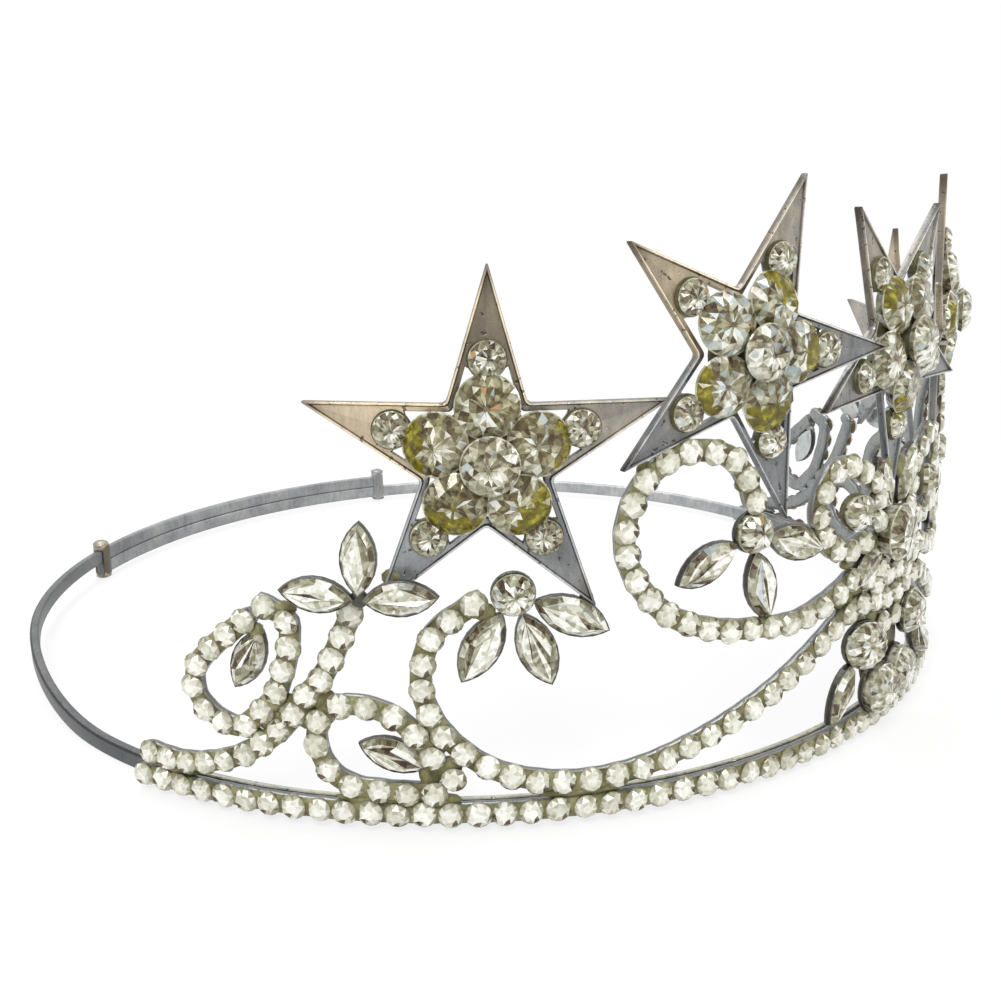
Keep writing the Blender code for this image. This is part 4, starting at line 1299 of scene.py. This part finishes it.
# %% Collars
COLLAR_AT, COLLAR_HALF = 210.0, 0.95
COLLAR_OPENING = (85.88, 87.7, 0.92, 7.0, 0.3)
BEAD_R, BEAD_WIDE = 86.9, 1.75
BEADS = [(0.5, 0.42), (8.2, 0.85)]
BROAD_STEPS, PLATE_TONE = (7, 15), 0.55
SLEEVE_R, SLEEVE_Z, SLEEVE_CORNER = (85.3, 88.5), (0.02, 8.9), 1.0
SWELL, END_PINCH, SWELL_OUT = 0.85, 0.97, 0.6


def sleeve_outline(along):
    """The outside of a collar, from one end at -1 to the other at 1."""
    swell = SWELL * (math.sqrt(max(1.0 - along * along * END_PINCH, 0.0)) - 1.0)
    out = swell * SWELL_OUT
    return soft_bar(SLEEVE_R[0] - out, SLEEVE_R[1] + out, SLEEVE_Z[0] - swell, SLEEVE_Z[1] + swell,
                    SLEEVE_CORNER)


def make_collar(label, way):
    middle = way * COLLAR_AT
    outlines = [(-1.0 + step / 4.0, sleeve_outline(-1.0 + step / 4.0)) for step in range(9)]
    outlines += [(along, soft_bar(*COLLAR_OPENING)) for along in (1.0, -1.0)]
    sleeve = [[round_hoop(r, z, middle + along * COLLAR_HALF) for r, z in outline]
              for along, outline in outlines]
    # the second number paints shade on the sleeve's broad inner and outer faces, so they show darker than
    # its rounded edges
    metal, broad = (old_brass, 0.35) if label == "right" else (hoop_metal, 0.7)
    bm = new_blank()
    skin(bm, sleeve, lambda row, step: (PLATE_TONE * (broad if step in BROAD_STEPS else 1.0), 0.5),
         closed=True)
    for z, tall in BEADS:
        seat = board(math.radians(middle) * WALL_R, z, BEAD_R - WALL_R)
        blob(bm, seat, BEAD_WIDE, tall, BEAD_WIDE, random.Random(label))
    make_piece(label + "_collar_sleeve", bm, [metal], [label + "_collar"],
               label + "_arm", 40)


for label, side in SIDES.items():
    make_strip(label, -side)
    make_collar(label, -side)
print("collars stand at", COLLAR_AT, "degrees from the front")

# %% [markdown]
# ## World
# The crown was photographed close by, in soft light, on white. The world is a plain pale light,
# and white wherever the camera or a mirror-like surface looks at it. A picture of a studio would
# give livelier reflections, but a plain world leaves every colour as it is written.

# %% World
WORLD_LIGHT = 0.75


def seen_directly(finish):
    """1 for rays from the camera and from glossy or clear surfaces."""
    camera, glossy, clear = [finish.node("ShaderNodeLightPath", out="Is " + kind + " Ray")
                             for kind in ("Camera", "Glossy", "Transmission")]
    return camera.sum("MAXIMUM", camera.sum("MAXIMUM", camera, glossy), clear)


world = bpy.data.worlds.new("studio")
bpy.context.scene.world = world
studio = Finish("studio", "Background", world, Color=(1.0, 1.0, 1.0, 1.0))
strength = studio.node("ShaderNodeMapRange", sockets={0: seen_directly(studio), 3: WORLD_LIGHT, 4: 1.0})
studio.feed(Strength=strength)

# %% [markdown]
# ## Floor
# The floor is white paper. Seen directly it mostly glows white in the same way as the world, and
# far off it does so entirely, so that no edge shows. Near the crown it keeps part of its own
# shading, so that the crown's shadow stays on it.

# %% Floor
FLOOR_R, FLOOR_Z = 3.0, -0.0002
SHADOW_REACH = (0.11, 0.24)
GLOW_SHARE = (0.80, 1.0)

paper = Finish("white_paper", Base_Color=(0.9, 0.9, 0.9, 1.0), Roughness=0.9)
share = seen_directly(paper) * paper.level(paper.far_off(), *SHADOW_REACH, *GLOW_SHARE)
matt = Wire(paper, paper.surface.outputs[0])
glow = paper.node("ShaderNodeEmission")
blend = paper.node("ShaderNodeMixShader", sockets={0: share, 1: matt, 2: glow})
paper.tree.links.new(blend.socket, paper.tree.nodes["Material Output"].inputs[0])

bm = bmesh.new()
bmesh.ops.create_circle(bm, cap_ends=True, segments=64, radius=FLOOR_R)
floor_mesh = bpy.data.meshes.new("floor")
bm.to_mesh(floor_mesh)
bm.free()
floor_mesh.materials.append(paper.owner)
floor = add_object("floor", floor_mesh)
floor.location.z = FLOOR_Z
print("the floor is", 2 * FLOOR_R, "m across")

# %% [markdown]
# ## Lamps
# Three large round lamps give the metal its gradients and the glass its lights: the key lamp
# from the upper left, a weaker one from the right and one from above and behind. Small lamps
# would be brighter on the stones but would throw hard shadows, which the photograph doesn't show.

# %% Lamps
LAMP_AIM = Vector((0.0, -0.02, 0.03))
LAMPS = {"key": ((-0.55, -0.35, 0.75), 0.35, 4.4), "side": ((0.6, -0.7, 0.35), 0.4, 2.2),
         "top": ((0.1, 0.3, 0.9), 0.5, 2.6)}

for name, (spot, size, power) in LAMPS.items():
    light = bpy.data.lights.new(name, "AREA")
    light.shape = "DISK"
    light.size = size
    light.energy = power
    lamp = add_object(name, light)
    lamp.location = spot
    lamp.rotation_euler = (LAMP_AIM - Vector(spot)).to_track_quat("-Z", "Y").to_euler()
print("lamps:", list(LAMPS))

# %% [markdown]
# ## Camera
# The photograph was taken from close by and a little above, to the left of the front. The
# camera's place, aim and lens were found by matching the tips of the stars and the ends of the
# rows in the picture. The picture is cropped, so its middle is not the lens's middle, and the
# shift of the camera puts that right.

# %% Camera
FOCAL_PX, IMAGE_W, IMAGE_H = 1087.4, 1001.0, 1000.0
CENTRE_PX = (463.1, 471.6)
AZIMUTH, ELEVATION, ROLL = math.radians(-46.66), math.radians(13.71), math.radians(-1.66)
DISTANCE, AIM_Z = 228.4, 27.8
SENSOR = 36.0

back = Vector((math.sin(AZIMUTH) * math.cos(ELEVATION), -math.cos(AZIMUTH) * math.cos(ELEVATION),
               math.sin(ELEVATION)))
flat_right = Vector((0.0, 0.0, 1.0)).cross(back).normalized()
flat_up = back.cross(flat_right)
right = flat_right * math.cos(ROLL) + flat_up * math.sin(ROLL)
up = flat_up * math.cos(ROLL) - flat_right * math.sin(ROLL)
eye = (back * DISTANCE + Vector((0.0, HOOP_AXIS_Y, AIM_Z))) * MM

lens = bpy.data.cameras.new("camera")
lens.sensor_fit = "HORIZONTAL"
lens.sensor_width = SENSOR
lens.lens = FOCAL_PX / IMAGE_W * SENSOR
lens.shift_x = (IMAGE_W / 2.0 - CENTRE_PX[0]) / IMAGE_W
lens.shift_y = (CENTRE_PX[1] - IMAGE_H / 2.0) / IMAGE_W
lens.clip_start = 0.005
camera = add_object("camera", lens)
camera.matrix_world = Matrix.Translation(eye) @ Matrix((right, up, back)).transposed().to_4x4()
bpy.context.scene.camera = camera
bpy.context.scene.view_settings.view_transform = "Standard"
print("camera at", [round(v, 4) for v in eye], "lens", round(lens.lens, 2))

# %% [markdown]
# The finished pieces have to stay inside the box of the plain solids.
